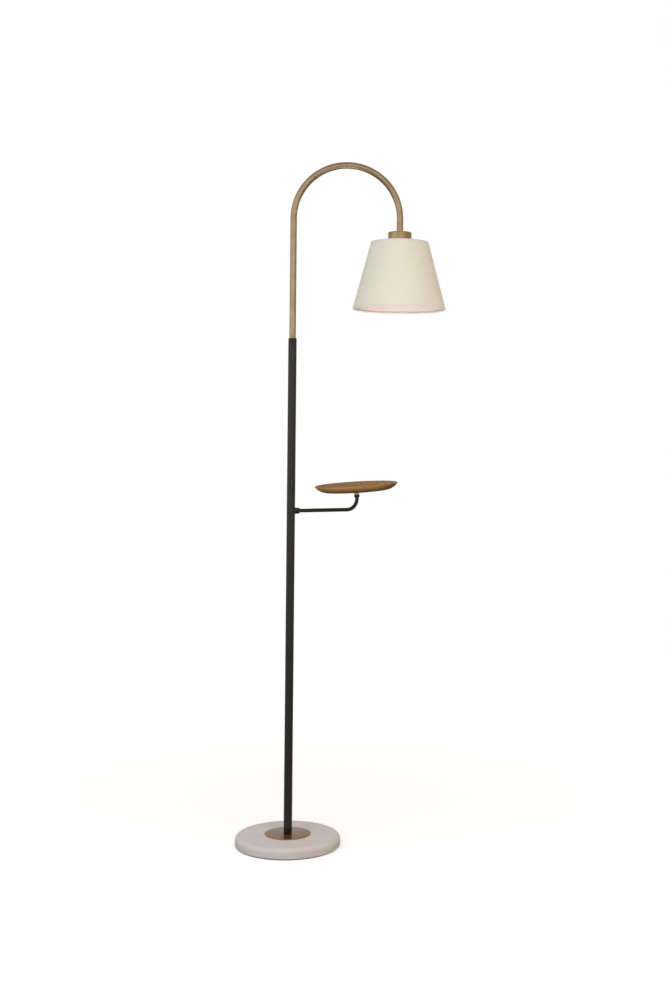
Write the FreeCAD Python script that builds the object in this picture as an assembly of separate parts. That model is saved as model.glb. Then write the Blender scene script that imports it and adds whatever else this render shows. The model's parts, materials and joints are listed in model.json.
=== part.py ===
import FreeCAD, Part
import os
import math

os.makedirs("parts", exist_ok=True)

V = FreeCAD.Vector

# ---------------------------------------------------------------------------
# Floor lamp with a small round table on a side arm.
# Origin: centre of the underside, on the floor. +Z up the pole, +X towards
# the shade, +Y to the rear, where the mains inlet is. Millimetres.
# ---------------------------------------------------------------------------

# base
BASE_R = 138.0            # stone base
BASE_TOP_Z = 30.0
BASE_TOP_EDGE_R = 14.0
BASE_LOW_EDGE_R = 4.0
FELT_T = 1.5
FELT_R = 134.0
RECESS_R = 32.0           # pocket under the base for the clamp nut
RECESS_TOP_Z = 21.0
GROOVE_R = 4.5            # lead channel from the pocket to the rear edge
LEAD_Z = 6.0
BASE_HOLE_R = 5.6
DISC_R = 60.0
DISC_T = 2.0

# pole
POLE_R = 11.0
POLE_WALL = 1.5
POLE_Z0 = BASE_TOP_Z + DISC_T
POLE_Z1 = 1329.0
POLE_BORE_R = POLE_R - POLE_WALL

# swivel at the top of the pole
BUSH_TOP_Z = 1335.0
BUSH_LOW_Z = 1274.0
BUSH_SLEEVE_R = 9.45
BUSH_BORE_R = 8.65
BUSH_LEDGE_Z = 1279.0
NECK_Z0 = 1280.5          # lower end of the gooseneck, on its thrust washer
SWIVEL_DEG = 135.0
STOP_PIN_R = 1.5
STOP_PIN_Z = 1300.0

# gooseneck
NECK_R = 8.6
NECK_WALL = 1.25
ARCH_R = 140.0
ARCH_Z = 1651.4
SHADE_X = 2.0 * ARCH_R
CUP_TOP_Z = 1616.0

# threaded nipples, M10 x 1, hollow
NIP_R = 4.97
NIP_BORE_R = 3.6
NIP_HOLE_R = 5.0

# lamp holder group
CUP_R = 30.9
CUP_LOW_Z = 1578.0
CUP_WALL = 1.2
CUP_PLATE = 1.5
HOLD_R = 19.75
HOLD_LOW_Z = 1545.0
SHOULDER_Z = 1573.0
FITTER_T = 2.0

# shade
SH_Z0, SH_Z1 = 1412.5, 1590.0
SH_R0, SH_R1 = 123.1, 75.6
SKIN_T = 1.0
RING_WIRE_R = 1.25
SPOKE_R = 1.6

# bulb (A60, E27)
BULB_TIP_Z = 1572.0
BULB_LEN = 108.0
BULB_R = 30.0

# tray and its arm
ARM_AZ = 32.0             # arm swung back from the shade
ARM_Z = 880.4
ARM_R = 5.0
ARM_BEND_R = 30.0
TRAY_TILT = 4.4           # outer edge of the tray is raised
TRAY_S = 196.9            # rim centre, along the arm
TRAY_Z = 949.2            # rim centre height
TRAY_R = 112.4
TRAY_FOOT_R = 86.2
TRAY_H = 17.9
TRAY_FLOOR = 7.2          # wood left under the dish
TRAY_N = 1.316
SPACER_H = 10.0
TWASHER_H = 1.0
COLLAR_H = 7.0

LEAD_R = 2.5              # internal mains lead


def save(name, shape):
    if isinstance(shape, Part.Compound) and len(shape.Solids) == 1:
        shape = shape.Solids[0]
    bad = "" if shape.isValid() else "  NOT VALID"
    print("%-22s solids %d  volume %.1f%s" % (name, len(shape.Solids), shape.Volume, bad))
    shape.exportStep("parts/%s.step" % name)
    return shape


def cyl(r, z0, z1, x=0.0, y=0.0):
    return Part.makeCylinder(r, z1 - z0, V(x, y, z0), V(0, 0, 1))


def tube(r, bore, z0, z1, x=0.0, y=0.0):
    return cyl(r, z0, z1, x, y).cut(cyl(bore, z0 - 1, z1 + 1, x, y))


def poly_rev(pts, x=0.0, y=0.0):
    # closed polygon in (radius, height), turned about the vertical through (x, y)
    vs = [V(r, 0, z) for r, z in pts]
    vs.append(vs[0])
    f = Part.Face(Part.makePolygon(vs))
    s = f.revolve(V(0, 0, 0), V(0, 0, 1), 360)
    s = Part.Solid(Part.Shell(s.Faces)) if not isinstance(s, Part.Solid) else s
    if s.Volume < 0:
        s.reverse()
    s.translate(V(x, y, 0))
    return s


def edges_rev(edges, x=0.0, y=0.0):
    f = Part.Face(Part.Wire(edges))
    s = f.revolve(V(0, 0, 0), V(0, 0, 1), 360)
    if s.Volume < 0:
        s.reverse()
    s.translate(V(x, y, 0))
    return s


def seg(a, b):
    return Part.LineSegment(V(a[0], 0, a[1]), V(b[0], 0, b[1])).toShape()


def arc3(a, m, b):
    return Part.Arc(V(a[0], 0, a[1]), V(m[0], 0, m[1]), V(b[0], 0, b[1])).toShape()


def corner_mid(cx, cz, r, deg):
    a = math.radians(deg)
    return (cx + r * math.cos(a), cz + r * math.sin(a))


def hexagon(af, bore, z0, z1, x=0.0, y=0.0, turn=0.0):
    rc = af / 2.0 / math.cos(math.radians(30))
    pts = []
    for i in range(7):
        a = math.radians(60 * i + turn)
        pts.append(V(x + rc * math.cos(a), y + rc * math.sin(a), z0))
    s = Part.Face(Part.makePolygon(pts)).extrude(V(0, 0, z1 - z0))
    # chamfered corners, as on a turned nut
    h = z1 - z0
    c = 0.12 * af
    cone = poly_rev([(0.0, z0), (rc - c * 0.45, z0), (rc + 0.01, z0 + c * 0.35),
                     (rc + 0.01, z1 - c * 0.35), (rc - c * 0.45, z1), (0.0, z1)], x, y)
    s = s.common(cone)
    return s.cut(cyl(bore, z0 - 1, z0 + h + 1, x, y))


def sweep_round(wire, r, start, direction):
    circ = Part.Wire(Part.Circle(start, direction, r).toShape())
    s = wire.makePipeShell([circ], True, False)
    if s.Volume < 0:
        s.reverse()
    return s


# ---------------------------------------------------------------------------
# Base: stone, felt, brass disc, clamp
# ---------------------------------------------------------------------------
z0 = FELT_T
rt, rl = BASE_TOP_EDGE_R, BASE_LOW_EDGE_R
base_edges = [
    seg((0, z0), (BASE_R - rl, z0)),
    arc3((BASE_R - rl, z0), corner_mid(BASE_R - rl, z0 + rl, rl, -45), (BASE_R, z0 + rl)),
    seg((BASE_R, z0 + rl), (BASE_R, BASE_TOP_Z - rt)),
    arc3((BASE_R, BASE_TOP_Z - rt), corner_mid(BASE_R - rt, BASE_TOP_Z - rt, rt, 45), (BASE_R - rt, BASE_TOP_Z)),
    seg((BASE_R - rt, BASE_TOP_Z), (0, BASE_TOP_Z)),
    seg((0, BASE_TOP_Z), (0, z0)),
]
stone = edges_rev(base_edges)
stone = stone.cut(cyl(BASE_HOLE_R, 0, 40))
stone = stone.cut(cyl(RECESS_R, 0, RECESS_TOP_Z))
channel = Part.makeCylinder(GROOVE_R, 160, V(0, 0, LEAD_Z), V(0, 1, 0))
channel = channel.fuse(Part.makeBox(2 * GROOVE_R, 160, LEAD_Z, V(-GROOVE_R, 0, 0)))
stone = stone.cut(channel)
save("marble_base", stone)

save("base_felt", cyl(FELT_R, 0, FELT_T))

disc = poly_rev([(5.2, BASE_TOP_Z), (DISC_R, BASE_TOP_Z), (DISC_R, BASE_TOP_Z + DISC_T - 0.5),
                 (DISC_R - 0.5, BASE_TOP_Z + DISC_T), (5.2, BASE_TOP_Z + DISC_T)])
save("base_disc", disc)

# inlet bush in the mouth of the lead channel
bush = Part.makeCylinder(4.4, 14.4, V(0, 124.0, LEAD_Z), V(0, 1, 0))
bush = bush.fuse(Part.makeCylinder(5.4, 1.8, V(0, BASE_R + 0.2, LEAD_Z), V(0, 1, 0)))
bush = bush.removeSplitter()
bush = bush.cut(Part.makeCylinder(3.1, 30, V(0, 120, LEAD_Z), V(0, 1, 0)))
save("cable_gland", bush)

save("base_nipple", tube(NIP_R, NIP_BORE_R, 14.5, 54.0))
save("clamp_washer", tube(25.0, 5.2, 19.0, RECESS_TOP_Z))
save("clamp_nut", hexagon(14.0, NIP_HOLE_R, 15.0, 19.0))

# ---------------------------------------------------------------------------
# Pole
# ---------------------------------------------------------------------------
ca, sa = math.cos(math.radians(ARM_AZ)), math.sin(math.radians(ARM_AZ))
arm_dir = V(ca, sa, 0)


def along(s, z):
    return V(s * ca, s * sa, z)


pole = tube(POLE_R, POLE_BORE_R, POLE_Z0, POLE_Z1)
INSERT_R = 5.6
insert_hole = Part.makeCylinder(INSERT_R, 20, along(0, ARM_Z), arm_dir)
pole = pole.cut(insert_hole)
save("pole", pole)

plug = poly_rev([(NIP_HOLE_R, POLE_Z0), (9.45, POLE_Z0), (9.45, 57.0), (8.45, 58.0), (NIP_HOLE_R, 58.0)])
save("pole_foot_plug", plug)

# bush that carries the gooseneck: rounded lip on the pole's end, sleeve
# inside it, ledge at the bottom, and a slot for the stop pin
lip_r = 2.0
bush_edges = [
    seg((3.6, BUSH_LOW_Z), (BUSH_SLEEVE_R, BUSH_LOW_Z)),
    seg((BUSH_SLEEVE_R, BUSH_LOW_Z), (BUSH_SLEEVE_R, POLE_Z1)),
    seg((BUSH_SLEEVE_R, POLE_Z1), (POLE_R, POLE_Z1)),
    seg((POLE_R, POLE_Z1), (POLE_R, BUSH_TOP_Z - lip_r)),
    arc3((POLE_R, BUSH_TOP_Z - lip_r), corner_mid(POLE_R - lip_r, BUSH_TOP_Z - lip_r, lip_r, 45),
         (POLE_R - lip_r, BUSH_TOP_Z)),
    seg((POLE_R - lip_r, BUSH_TOP_Z), (BUSH_BORE_R, BUSH_TOP_Z)),
    seg((BUSH_BORE_R, BUSH_TOP_Z), (BUSH_BORE_R, BUSH_LEDGE_Z)),
    seg((BUSH_BORE_R, BUSH_LEDGE_Z), (3.6, BUSH_LEDGE_Z)),
    seg((3.6, BUSH_LEDGE_Z), (3.6, BUSH_LOW_Z)),
]
bushing = edges_rev(bush_edges)
half = SWIVEL_DEG + math.degrees(STOP_PIN_R / BUSH_BORE_R) + 3.0
slot_z0, slot_z1 = STOP_PIN_Z - STOP_PIN_R - 0.35, STOP_PIN_Z + STOP_PIN_R + 0.35
slot = Part.makeCylinder(12, slot_z1 - slot_z0, V(0, 0, slot_z0), V(0, 0, 1), 2 * half)
slot.rotate(V(0, 0, 0), V(0, 0, 1), 180 - half)
bushing = bushing.cut(slot)
save("pole_top_bushing", bushing)

save("swivel_washer", tube(8.4, 3.8, BUSH_LEDGE_Z, NECK_Z0))

# ---------------------------------------------------------------------------
# Table arm: threaded insert in the pole wall, boss, bent rod, collar
# ---------------------------------------------------------------------------
insert = Part.makeCylinder(INSERT_R, 6.2, along(5.2, ARM_Z), arm_dir)
insert = insert.common(cyl(POLE_R, ARM_Z - 20, ARM_Z + 20))
insert = insert.cut(Part.makeCylinder(4.0, 30, along(0, ARM_Z), arm_dir))
save("arm_insert", insert)

boss = Part.makeCone(8.8, 7.6, 15.0, along(9.0, ARM_Z), arm_dir)
boss = boss.cut(cyl(POLE_R, ARM_Z - 20, ARM_Z + 20))
boss = boss.cut(Part.makeCylinder(ARM_R, 40, along(0, ARM_Z), arm_dir))
save("arm_boss", boss)

tilt = math.radians(TRAY_TILT)
nrm_s, nrm_z = -math.sin(tilt), math.cos(tilt)          # tray axis in the arm's plane
foot_s, foot_z = TRAY_S - TRAY_H * nrm_s, TRAY_Z - TRAY_H * nrm_z  # underside centre


def on_axis(d):
    # point on the tray axis, d below the tray's underside
    return (foot_s - d * nrm_s, foot_z - d * nrm_z)


# bend end: the point of the stem level with the arc's end
zc = ARM_Z + ARM_BEND_R
end_z = zc + ARM_BEND_R * math.sin(tilt)
d_end = (foot_z - end_z) / nrm_z
end_s = on_axis(d_end)[0]
s_bend = end_s - ARM_BEND_R * math.cos(tilt)
mid_a = math.radians(-90 + (90 + TRAY_TILT) / 2.0)
stem_top = on_axis(SPACER_H + TWASHER_H)
print("arm bend radius %.1f, starts at %.2f, ends at %.2f, %.2f (%.2f below the tray)"
      % (ARM_BEND_R, s_bend, end_s, end_z, d_end))

ARM_SHOULDER = 11.6
path = Part.Wire([
    Part.LineSegment(along(ARM_SHOULDER, ARM_Z), along(s_bend, ARM_Z)).toShape(),
    Part.Arc(along(s_bend, ARM_Z),
             along(s_bend + ARM_BEND_R * math.cos(mid_a), zc + ARM_BEND_R * math.sin(mid_a)),
             along(end_s, end_z)).toShape(),
    Part.LineSegment(along(end_s, end_z), along(stem_top[0], stem_top[1])).toShape(),
])
rod = sweep_round(path, ARM_R, along(ARM_SHOULDER, ARM_Z), arm_dir)
print("arm volume %.1f, section x length %.1f" % (rod.Volume, math.pi * ARM_R ** 2 * path.Length))
tenon = Part.makeCylinder(3.95, ARM_SHOULDER - 5.4, along(5.4, ARM_Z), arm_dir)
stem_dir = V(nrm_s * ca, nrm_s * sa, nrm_z)
stud_top = on_axis(-4.5)
stud = Part.makeCylinder(3.0, (SPACER_H + TWASHER_H) + 4.5, along(*stem_top), stem_dir)
arm = rod.fuse([tenon, stud])
save("tray_arm", arm)

collar_low = on_axis(SPACER_H + TWASHER_H + COLLAR_H)
collar = Part.makeCone(6.9, 7.5, COLLAR_H, along(*collar_low), stem_dir)
collar = collar.cut(Part.makeCylinder(ARM_R, 60, along(*on_axis(40)), stem_dir))
save("stem_collar", collar)

# ---------------------------------------------------------------------------
# Table: turned wooden dish, threaded insert, washer, spacer.
# Made about the vertical with the rim centre at the origin, then placed.
# ---------------------------------------------------------------------------


def place_tray(shape):
    s = shape.copy()
    s.rotate(V(0, 0, 0), V(0, 1, 0), -TRAY_TILT)       # outer edge up
    s.rotate(V(0, 0, 0), V(0, 0, 1), ARM_AZ)
    s.translate(along(TRAY_S, TRAY_Z))
    return s


outer = []
for i in range(13):
    t = math.radians(90.0 * i / 12.0)
    outer.append((TRAY_FOOT_R + (TRAY_R - TRAY_FOOT_R) * math.sin(t) ** TRAY_N,
                  -TRAY_H + TRAY_H * (1 - math.cos(t) ** TRAY_N)))
# the top of the side stops a little below the rim, which is rounded
RIM_ROUND = 1.6
outer = [p for p in outer if p[1] < -RIM_ROUND - 0.6]
outer.append((TRAY_R, -RIM_ROUND))
bs = Part.BSplineCurve()
bs.interpolate([V(r, 0, z) for r, z in outer])
floor_z = -TRAY_H + TRAY_FLOOR
in_r = TRAY_R - 2 * RIM_ROUND
inner = [(in_r, -RIM_ROUND), (in_r - 1.6, -3.6), (in_r - 4.6, -6.4), (in_r - 9.4, -8.7),
         (in_r - 16.0, -10.2), (in_r - 23.0, floor_z)]
bi = Part.BSplineCurve()
bi.interpolate([V(r, 0, z) for r, z in inner])
tray_edges = [
    seg((0, -TRAY_H), outer[0]),
    bs.toShape(),
    arc3((TRAY_R, -RIM_ROUND), (TRAY_R - RIM_ROUND, 0.0), (in_r, -RIM_ROUND)),
    bi.toShape(),
    seg(inner[-1], (0, floor_z)),
    seg((0, floor_z), (0, -TRAY_H)),
]
dish = edges_rev(tray_edges)
INS_R = 5.5
INS_H = 5.0
dish = dish.cut(cyl(INS_R, -TRAY_H - 1, -TRAY_H + INS_H))
save("tray", place_tray(dish))
save("tray_insert", place_tray(tube(INS_R, 3.05, -TRAY_H, -TRAY_H + INS_H)))
save("tray_spacer", place_tray(tube(6.9, 3.05, -TRAY_H - SPACER_H, -TRAY_H)))
save("tray_washer", place_tray(tube(7.2, 3.1, -TRAY_H - SPACER_H - TWASHER_H, -TRAY_H - SPACER_H)))

# ---------------------------------------------------------------------------
# Gooseneck
# ---------------------------------------------------------------------------


def neck_wire(z_start, z_end):
    return Part.Wire([
        Part.LineSegment(V(0, 0, z_start), V(0, 0, ARCH_Z)).toShape(),
        Part.Arc(V(0, 0, ARCH_Z), V(ARCH_R, 0, ARCH_Z + ARCH_R), V(SHADE_X, 0, ARCH_Z)).toShape(),
        Part.LineSegment(V(SHADE_X, 0, ARCH_Z), V(SHADE_X, 0, z_end)).toShape(),
    ])


w = neck_wire(NECK_Z0, CUP_TOP_Z)
n_out = sweep_round(w, NECK_R, V(0, 0, NECK_Z0), V(0, 0, 1))
w2 = neck_wire(NECK_Z0 - 1, CUP_TOP_Z - 1)
n_in = sweep_round(w2, NECK_R - NECK_WALL, V(0, 0, NECK_Z0 - 1), V(0, 0, 1))
neck = n_out.cut(n_in)
neck = neck.cut(Part.makeCylinder(STOP_PIN_R, 12, V(0, 0, STOP_PIN_Z), V(-1, 0, 0)))
print("gooseneck arch radius %.1f, volume %.1f, section x length %.1f"
      % (ARCH_R, neck.Volume, math.pi * (NECK_R ** 2 - (NECK_R - NECK_WALL) ** 2) * w.Length))
save("gooseneck", neck)

save("swivel_stop_pin", Part.makeCylinder(STOP_PIN_R, 4.2, V(-5.0, 0, STOP_PIN_Z), V(-1, 0, 0)))

# ---------------------------------------------------------------------------
# Head: end plug, nipple, cup, lock nut, lamp holder
# ---------------------------------------------------------------------------
X = SHADE_X
save("gooseneck_end_plug", tube(7.3, NIP_HOLE_R, CUP_TOP_Z, CUP_TOP_Z + 18, X))
save("head_nipple", tube(NIP_R, NIP_BORE_R, 1596.0, 1630.0, X))

er = 2.0
ri = CUP_R - CUP_WALL
cup_edges = [
    seg((5.1, CUP_TOP_Z), (CUP_R - er, CUP_TOP_Z)),
    arc3((CUP_R - er, CUP_TOP_Z), corner_mid(CUP_R - er, CUP_TOP_Z - er, er, 45), (CUP_R, CUP_TOP_Z - er)),
    seg((CUP_R, CUP_TOP_Z - er), (CUP_R, CUP_LOW_Z)),
    seg((CUP_R, CUP_LOW_Z), (ri, CUP_LOW_Z)),
    seg((ri, CUP_LOW_Z), (ri, CUP_TOP_Z - CUP_PLATE)),
    seg((ri, CUP_TOP_Z - CUP_PLATE), (5.1, CUP_TOP_Z - CUP_PLATE)),
    seg((5.1, CUP_TOP_Z - CUP_PLATE), (5.1, CUP_TOP_Z)),
]
save("holder_cup", edges_rev(cup_edges, X))
save("cup_lock_nut", hexagon(14.0, NIP_HOLE_R, CUP_TOP_Z - CUP_PLATE - 4.0, CUP_TOP_Z - CUP_PLATE, X))

save("holder_cap", poly_rev([
    (NIP_HOLE_R, 1608.0), (8.0, 1608.0), (8.4, 1607.6), (8.4, 1603.0), (13.0, 1601.6), (17.2, 1598.4),
    (19.6, 1594.0), (20.5, 1588.0), (20.5, 1577.0), (18.5, 1577.0), (18.5, 1587.6),
    (17.6, 1592.6), (15.2, 1596.4), (11.8, 1598.6), (NIP_HOLE_R, 1598.6)], X))
save("holder_insulator", poly_rev([
    (0.0, 1590.0), (12.0, 1590.0), (14.6, 1588.0), (18.2, 1586.0), (18.2, 1578.0), (0.0, 1578.0)], X))
body = poly_rev([
    (17.5, 1577.0), (23.5, 1577.0), (23.5, SHOULDER_Z), (HOLD_R, SHOULDER_Z), (HOLD_R, HOLD_LOW_Z + 1.0),
    (HOLD_R - 1.0, HOLD_LOW_Z), (15.2, HOLD_LOW_Z), (15.2, HOLD_LOW_Z + 3.0), (17.5, HOLD_LOW_Z + 4.5)], X)
save("holder_body", body)
save("holder_screw_shell", tube(14.2, 13.6, 1550.0, 1578.0, X))
contact = Part.makeBox(9.0, 5.0, 0.6, V(X - 2.5, -2.5, 1577.4))
contact = contact.fuse(Part.makeBox(0.6, 5.0, 5.0, V(X - 2.5, -2.5, 1573.0)))
contact = contact.fuse(Part.makeBox(6.0, 5.0, 0.6, V(X - 2.5, -2.5, 1572.6)))
save("holder_contact", contact.removeSplitter())

# grip notches round the shade ring's skirt
nut = poly_rev([
    (HOLD_R + 0.05, SHOULDER_Z - FITTER_T), (27.5, SHOULDER_Z - FITTER_T), (27.5, SHOULDER_Z - FITTER_T - 2.5),
    (23.6, SHOULDER_Z - FITTER_T - 3.5), (23.6, SHOULDER_Z - FITTER_T - 12.0),
    (HOLD_R + 0.05, SHOULDER_Z - FITTER_T - 12.0)], X)
for i in range(24):
    a = math.radians(15 * i)
    nut = nut.cut(cyl(0.9, 1555, SHOULDER_Z - FITTER_T - 3.2, X + 23.9 * math.cos(a), 23.9 * math.sin(a)))
save("shade_ring_nut", nut)

# ---------------------------------------------------------------------------
# Shade
# ---------------------------------------------------------------------------
slope = (SH_R1 - SH_R0) / (SH_Z1 - SH_Z0)
hyp = math.hypot(1.0, slope)
t_h = SKIN_T * hyp                                     # horizontal thickness
HEM_T = 0.35
HEM_H = 6.0
CAP_T = 0.5


def r_out(z):
    return SH_R0 + (z - SH_Z0) * slope


def r_in(z):
    return r_out(z) - t_h


zs0, zs1 = SH_Z0 + CAP_T, SH_Z1 - CAP_T
save("shade_skin", poly_rev([(r_in(zs0), zs0), (r_out(zs0), zs0), (r_out(zs1), zs1), (r_in(zs1), zs1)], X))

zr1 = zs1 - 0.1 - RING_WIRE_R
rr1 = r_in(zr1) - (RING_WIRE_R + 0.05) * hyp
zr0 = zs0 + 0.1 + RING_WIRE_R
rr0 = r_in(zr0) - (RING_WIRE_R + 0.05) * hyp

top_ring = Part.makeTorus(rr1, RING_WIRE_R, V(X, 0, zr1), V(0, 0, 1))
fitter = tube(28.5, 21.0, SHOULDER_Z - FITTER_T, SHOULDER_Z, X)
spokes, clear = [], []
zf = SHOULDER_Z - FITTER_T / 2.0
for i in range(3):
    a = math.radians(60 + 120 * i)
    p0 = V(X + 26.5 * math.cos(a), 26.5 * math.sin(a), zf)
    p1 = V(X + rr1 * math.cos(a), rr1 * math.sin(a), zr1)
    d = p1.sub(p0)
    spokes.append(Part.makeCylinder(SPOKE_R * 0.62, d.Length, p0, d))
    clear.append(Part.makeCylinder(SPOKE_R + 0.3, d.Length + 0.1, p0, d))
frame = top_ring.fuse([fitter] + spokes)
# the spokes stay clear of the shoulder and nut faces, above and below the fitter
frame = frame.cut(tube(23.6, 15.0, SHOULDER_Z, SHOULDER_Z + 10, X))
frame = frame.cut(tube(27.6, 15.0, SHOULDER_Z - 12, SHOULDER_Z - FITTER_T, X))
save("shade_top_frame", frame.removeSplitter())

save("shade_bottom_ring", Part.makeTorus(rr0, RING_WIRE_R, V(X, 0, zr0), V(0, 0, 1)))

# hem: the cloth is turned in over each edge and its wire
in1 = rr1 - RING_WIRE_R - 0.1
zt = SH_Z1 - HEM_H
top_trim = poly_rev([
    (r_out(zs1), zs1), (r_out(SH_Z1), SH_Z1), (in1 - HEM_T, SH_Z1), (in1 - HEM_T, zt), (in1, zt), (in1, zs1)], X)
for c in clear:
    top_trim = top_trim.cut(c)
save("shade_top_trim", top_trim)

in0 = rr0 - RING_WIRE_R - 0.1
zb = SH_Z0 + HEM_H
low_trim = poly_rev([
    (r_out(zs0), zs0), (in0, zs0), (in0, zb), (in0 - HEM_T, zb), (in0 - HEM_T, SH_Z0), (r_out(SH_Z0), SH_Z0)], X)
save("shade_bottom_trim", low_trim)

# ---------------------------------------------------------------------------
# Bulb
# ---------------------------------------------------------------------------
zt = BULB_TIP_Z
zb = BULB_TIP_Z - BULB_LEN
gpts = [(12.6, zt - 26.0), (13.1, zt - 32.0), (15.6, zt - 41.0), (20.6, zt - 52.0), (26.2, zt - 63.0),
        (29.6, zt - 73.5), (29.7, zt - 81.0), (27.2, zt - 91.0), (21.6, zt - 99.6), (12.6, zt - 105.8),
        (0.0, zb)]
bg = Part.BSplineCurve()
bg.interpolate([V(r, 0, z) for r, z in gpts], False)
glass_edges = [seg((0, zt - 26.0), gpts[0]), bg.toShape(), seg(gpts[-1], (0, zt - 26.0))]
save("bulb_glass", edges_rev(glass_edges, X))

# rolled thread of the screw cap as rounded rings
cap_pts = [(0.0, zt - 3.0), (9.0, zt - 3.0), (12.2, zt - 5.0)]
z = zt - 6.0
while z > zt - 21.0:
    cap_pts += [(13.2, z - 0.9), (13.2, z - 1.3), (12.3, z - 2.6), (12.3, z - 3.1)]
    z -= 3.63
cap_pts += [(12.8, zt - 22.5), (13.0, zt - 26.0), (0.0, zt - 26.0)]
save("bulb_cap", poly_rev(cap_pts, X))
save("bulb_insulator", poly_rev([(0.0, zt - 1.2), (4.8, zt - 1.2), (8.6, zt - 3.0), (0.0, zt - 3.0)], X))
save("bulb_contact", poly_rev([(0.0, zt), (2.6, zt), (4.4, zt - 0.6), (4.6, zt - 1.2), (0.0, zt - 1.2)], X))

# ---------------------------------------------------------------------------
# Internal lead, from the inlet bush up to the lamp holder. It is one lead;
# its two lengths meet face to face at the swivel.
# ---------------------------------------------------------------------------
LEAD_BEND_R = 9.5
c45 = LEAD_BEND_R * (1 - math.sqrt(0.5))
lw = Part.Wire([
    Part.LineSegment(V(0, 124.0, LEAD_Z), V(0, LEAD_BEND_R, LEAD_Z)).toShape(),
    Part.Arc(V(0, LEAD_BEND_R, LEAD_Z), V(0, c45, LEAD_Z + c45), V(0, 0, LEAD_Z + LEAD_BEND_R)).toShape(),
    Part.LineSegment(V(0, 0, LEAD_Z + LEAD_BEND_R), V(0, 0, NECK_Z0)).toShape(),
])
lead1 = sweep_round(lw, LEAD_R, V(0, 124.0, LEAD_Z), V(0, -1, 0))
print("lower lead bend radius %.1f, volume %.1f, section x length %.1f"
      % (LEAD_BEND_R, lead1.Volume, math.pi * LEAD_R ** 2 * lw.Length))
save("lead_lower", lead1)
uw = neck_wire(NECK_Z0, 1590.0)
lead2 = sweep_round(uw, LEAD_R, V(0, 0, NECK_Z0), V(0, 0, 1))
print("upper lead bend radius %.1f, volume %.1f, section x length %.1f"
      % (ARCH_R, lead2.Volume, math.pi * LEAD_R ** 2 * uw.Length))
save("lead_upper", lead2)
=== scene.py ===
import bpy
import bmesh
import json
import math
from mathutils import Matrix, Vector, noise

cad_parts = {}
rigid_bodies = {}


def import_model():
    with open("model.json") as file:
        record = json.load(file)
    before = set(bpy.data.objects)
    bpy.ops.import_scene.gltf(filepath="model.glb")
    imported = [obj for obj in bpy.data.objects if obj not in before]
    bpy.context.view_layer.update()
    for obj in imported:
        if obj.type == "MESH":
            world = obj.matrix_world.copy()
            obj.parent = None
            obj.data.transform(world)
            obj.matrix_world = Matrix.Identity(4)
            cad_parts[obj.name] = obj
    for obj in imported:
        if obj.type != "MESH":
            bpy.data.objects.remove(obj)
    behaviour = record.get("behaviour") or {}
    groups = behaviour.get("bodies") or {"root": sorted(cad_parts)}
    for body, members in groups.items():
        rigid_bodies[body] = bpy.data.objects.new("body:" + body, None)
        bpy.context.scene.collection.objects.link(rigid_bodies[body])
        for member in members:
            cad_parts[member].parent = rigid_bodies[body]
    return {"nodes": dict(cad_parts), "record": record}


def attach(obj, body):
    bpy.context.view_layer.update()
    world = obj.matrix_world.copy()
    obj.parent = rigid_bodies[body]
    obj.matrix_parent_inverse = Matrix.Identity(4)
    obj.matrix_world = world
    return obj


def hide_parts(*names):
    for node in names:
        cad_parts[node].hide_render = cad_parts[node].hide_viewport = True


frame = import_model()
scene = bpy.context.scene
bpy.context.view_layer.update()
NODES = frame["nodes"]
MM = 0.001
TAU = 2.0 * math.pi

# ---------------------------------------------------------------------------
# Camera: the photograph's viewing angle
# ---------------------------------------------------------------------------
cam_data = bpy.data.cameras.new("view_camera")
cam = bpy.data.objects.new("view_camera", cam_data)
scene.collection.objects.link(cam)
cam_data.sensor_fit = "AUTO"
cam_data.sensor_width = 36.0
cam_data.lens = 49.826
cam_data.shift_x = -0.0805
cam_data.shift_y = -0.0575
cam_data.clip_start = 0.05
cam_data.clip_end = 100.0
roll = math.radians(0.5584)
right = Vector((math.cos(roll), 0.0, math.sin(roll)))
up = Vector((-math.sin(roll), 0.0, math.cos(roll)))
back = right.cross(up)
m = Matrix.Identity(4)
for i in range(3):
    m[i][0], m[i][1], m[i][2] = right[i], up[i], back[i]
m.translation = Vector((0.3212, -3.6452, 1.06339))
cam.matrix_world = m
scene.camera = cam

scene.view_settings.view_transform = "Standard"
scene.view_settings.look = "None"
scene.view_settings.exposure = 0.0
scene.view_settings.gamma = 1.0

# ---------------------------------------------------------------------------
# Sizes, millimetres
# ---------------------------------------------------------------------------
BASE_R, BASE_TOP, EDGE_R = 138.0, 30.0, 14.0
POLE_R, POLE_IN = 11.0, 9.5
BUSH_R, BUSH_BORE = 9.45, 8.65
NECK_R, NECK_IN = 8.6, 7.35
ARCH_R, ARCH_Z = 140.0, 1651.4
SX = 280.0                      # shade axis
CUP_TOP, CUP_LOW, CUP_R = 1616.0, 1578.0, 30.9
SH_Z0, SH_Z1, SH_R0, SH_R1 = 1412.5, 1590.0, 123.1, 75.6
ARM_AZ, ARM_Z, ARM_R = math.radians(32.0), 880.4, 5.0
TILT = math.radians(4.4)
TRAY_S, TRAY_Z = 196.9, 949.2
TRAY_R, TRAY_FOOT, TRAY_H, TRAY_N = 112.4, 86.2, 17.9, 1.316
CA, SA = math.cos(ARM_AZ), math.sin(ARM_AZ)

# studio light: brightness by height of the direction (-1 straight down, 1 straight up), and by side
WORLD_BY_HEIGHT = [(-1.0, 0.20), (-0.55, 0.12), (-0.25, 0.08), (-0.16, 0.62), (-0.06, 0.86), (0.05, 0.74), (0.22, 0.64), (0.60, 0.52), (1.0, 0.34)]
WORLD_FRONT, WORLD_REAR, WORLD_LEFT = 0.10, 0.16, 0.04


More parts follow.
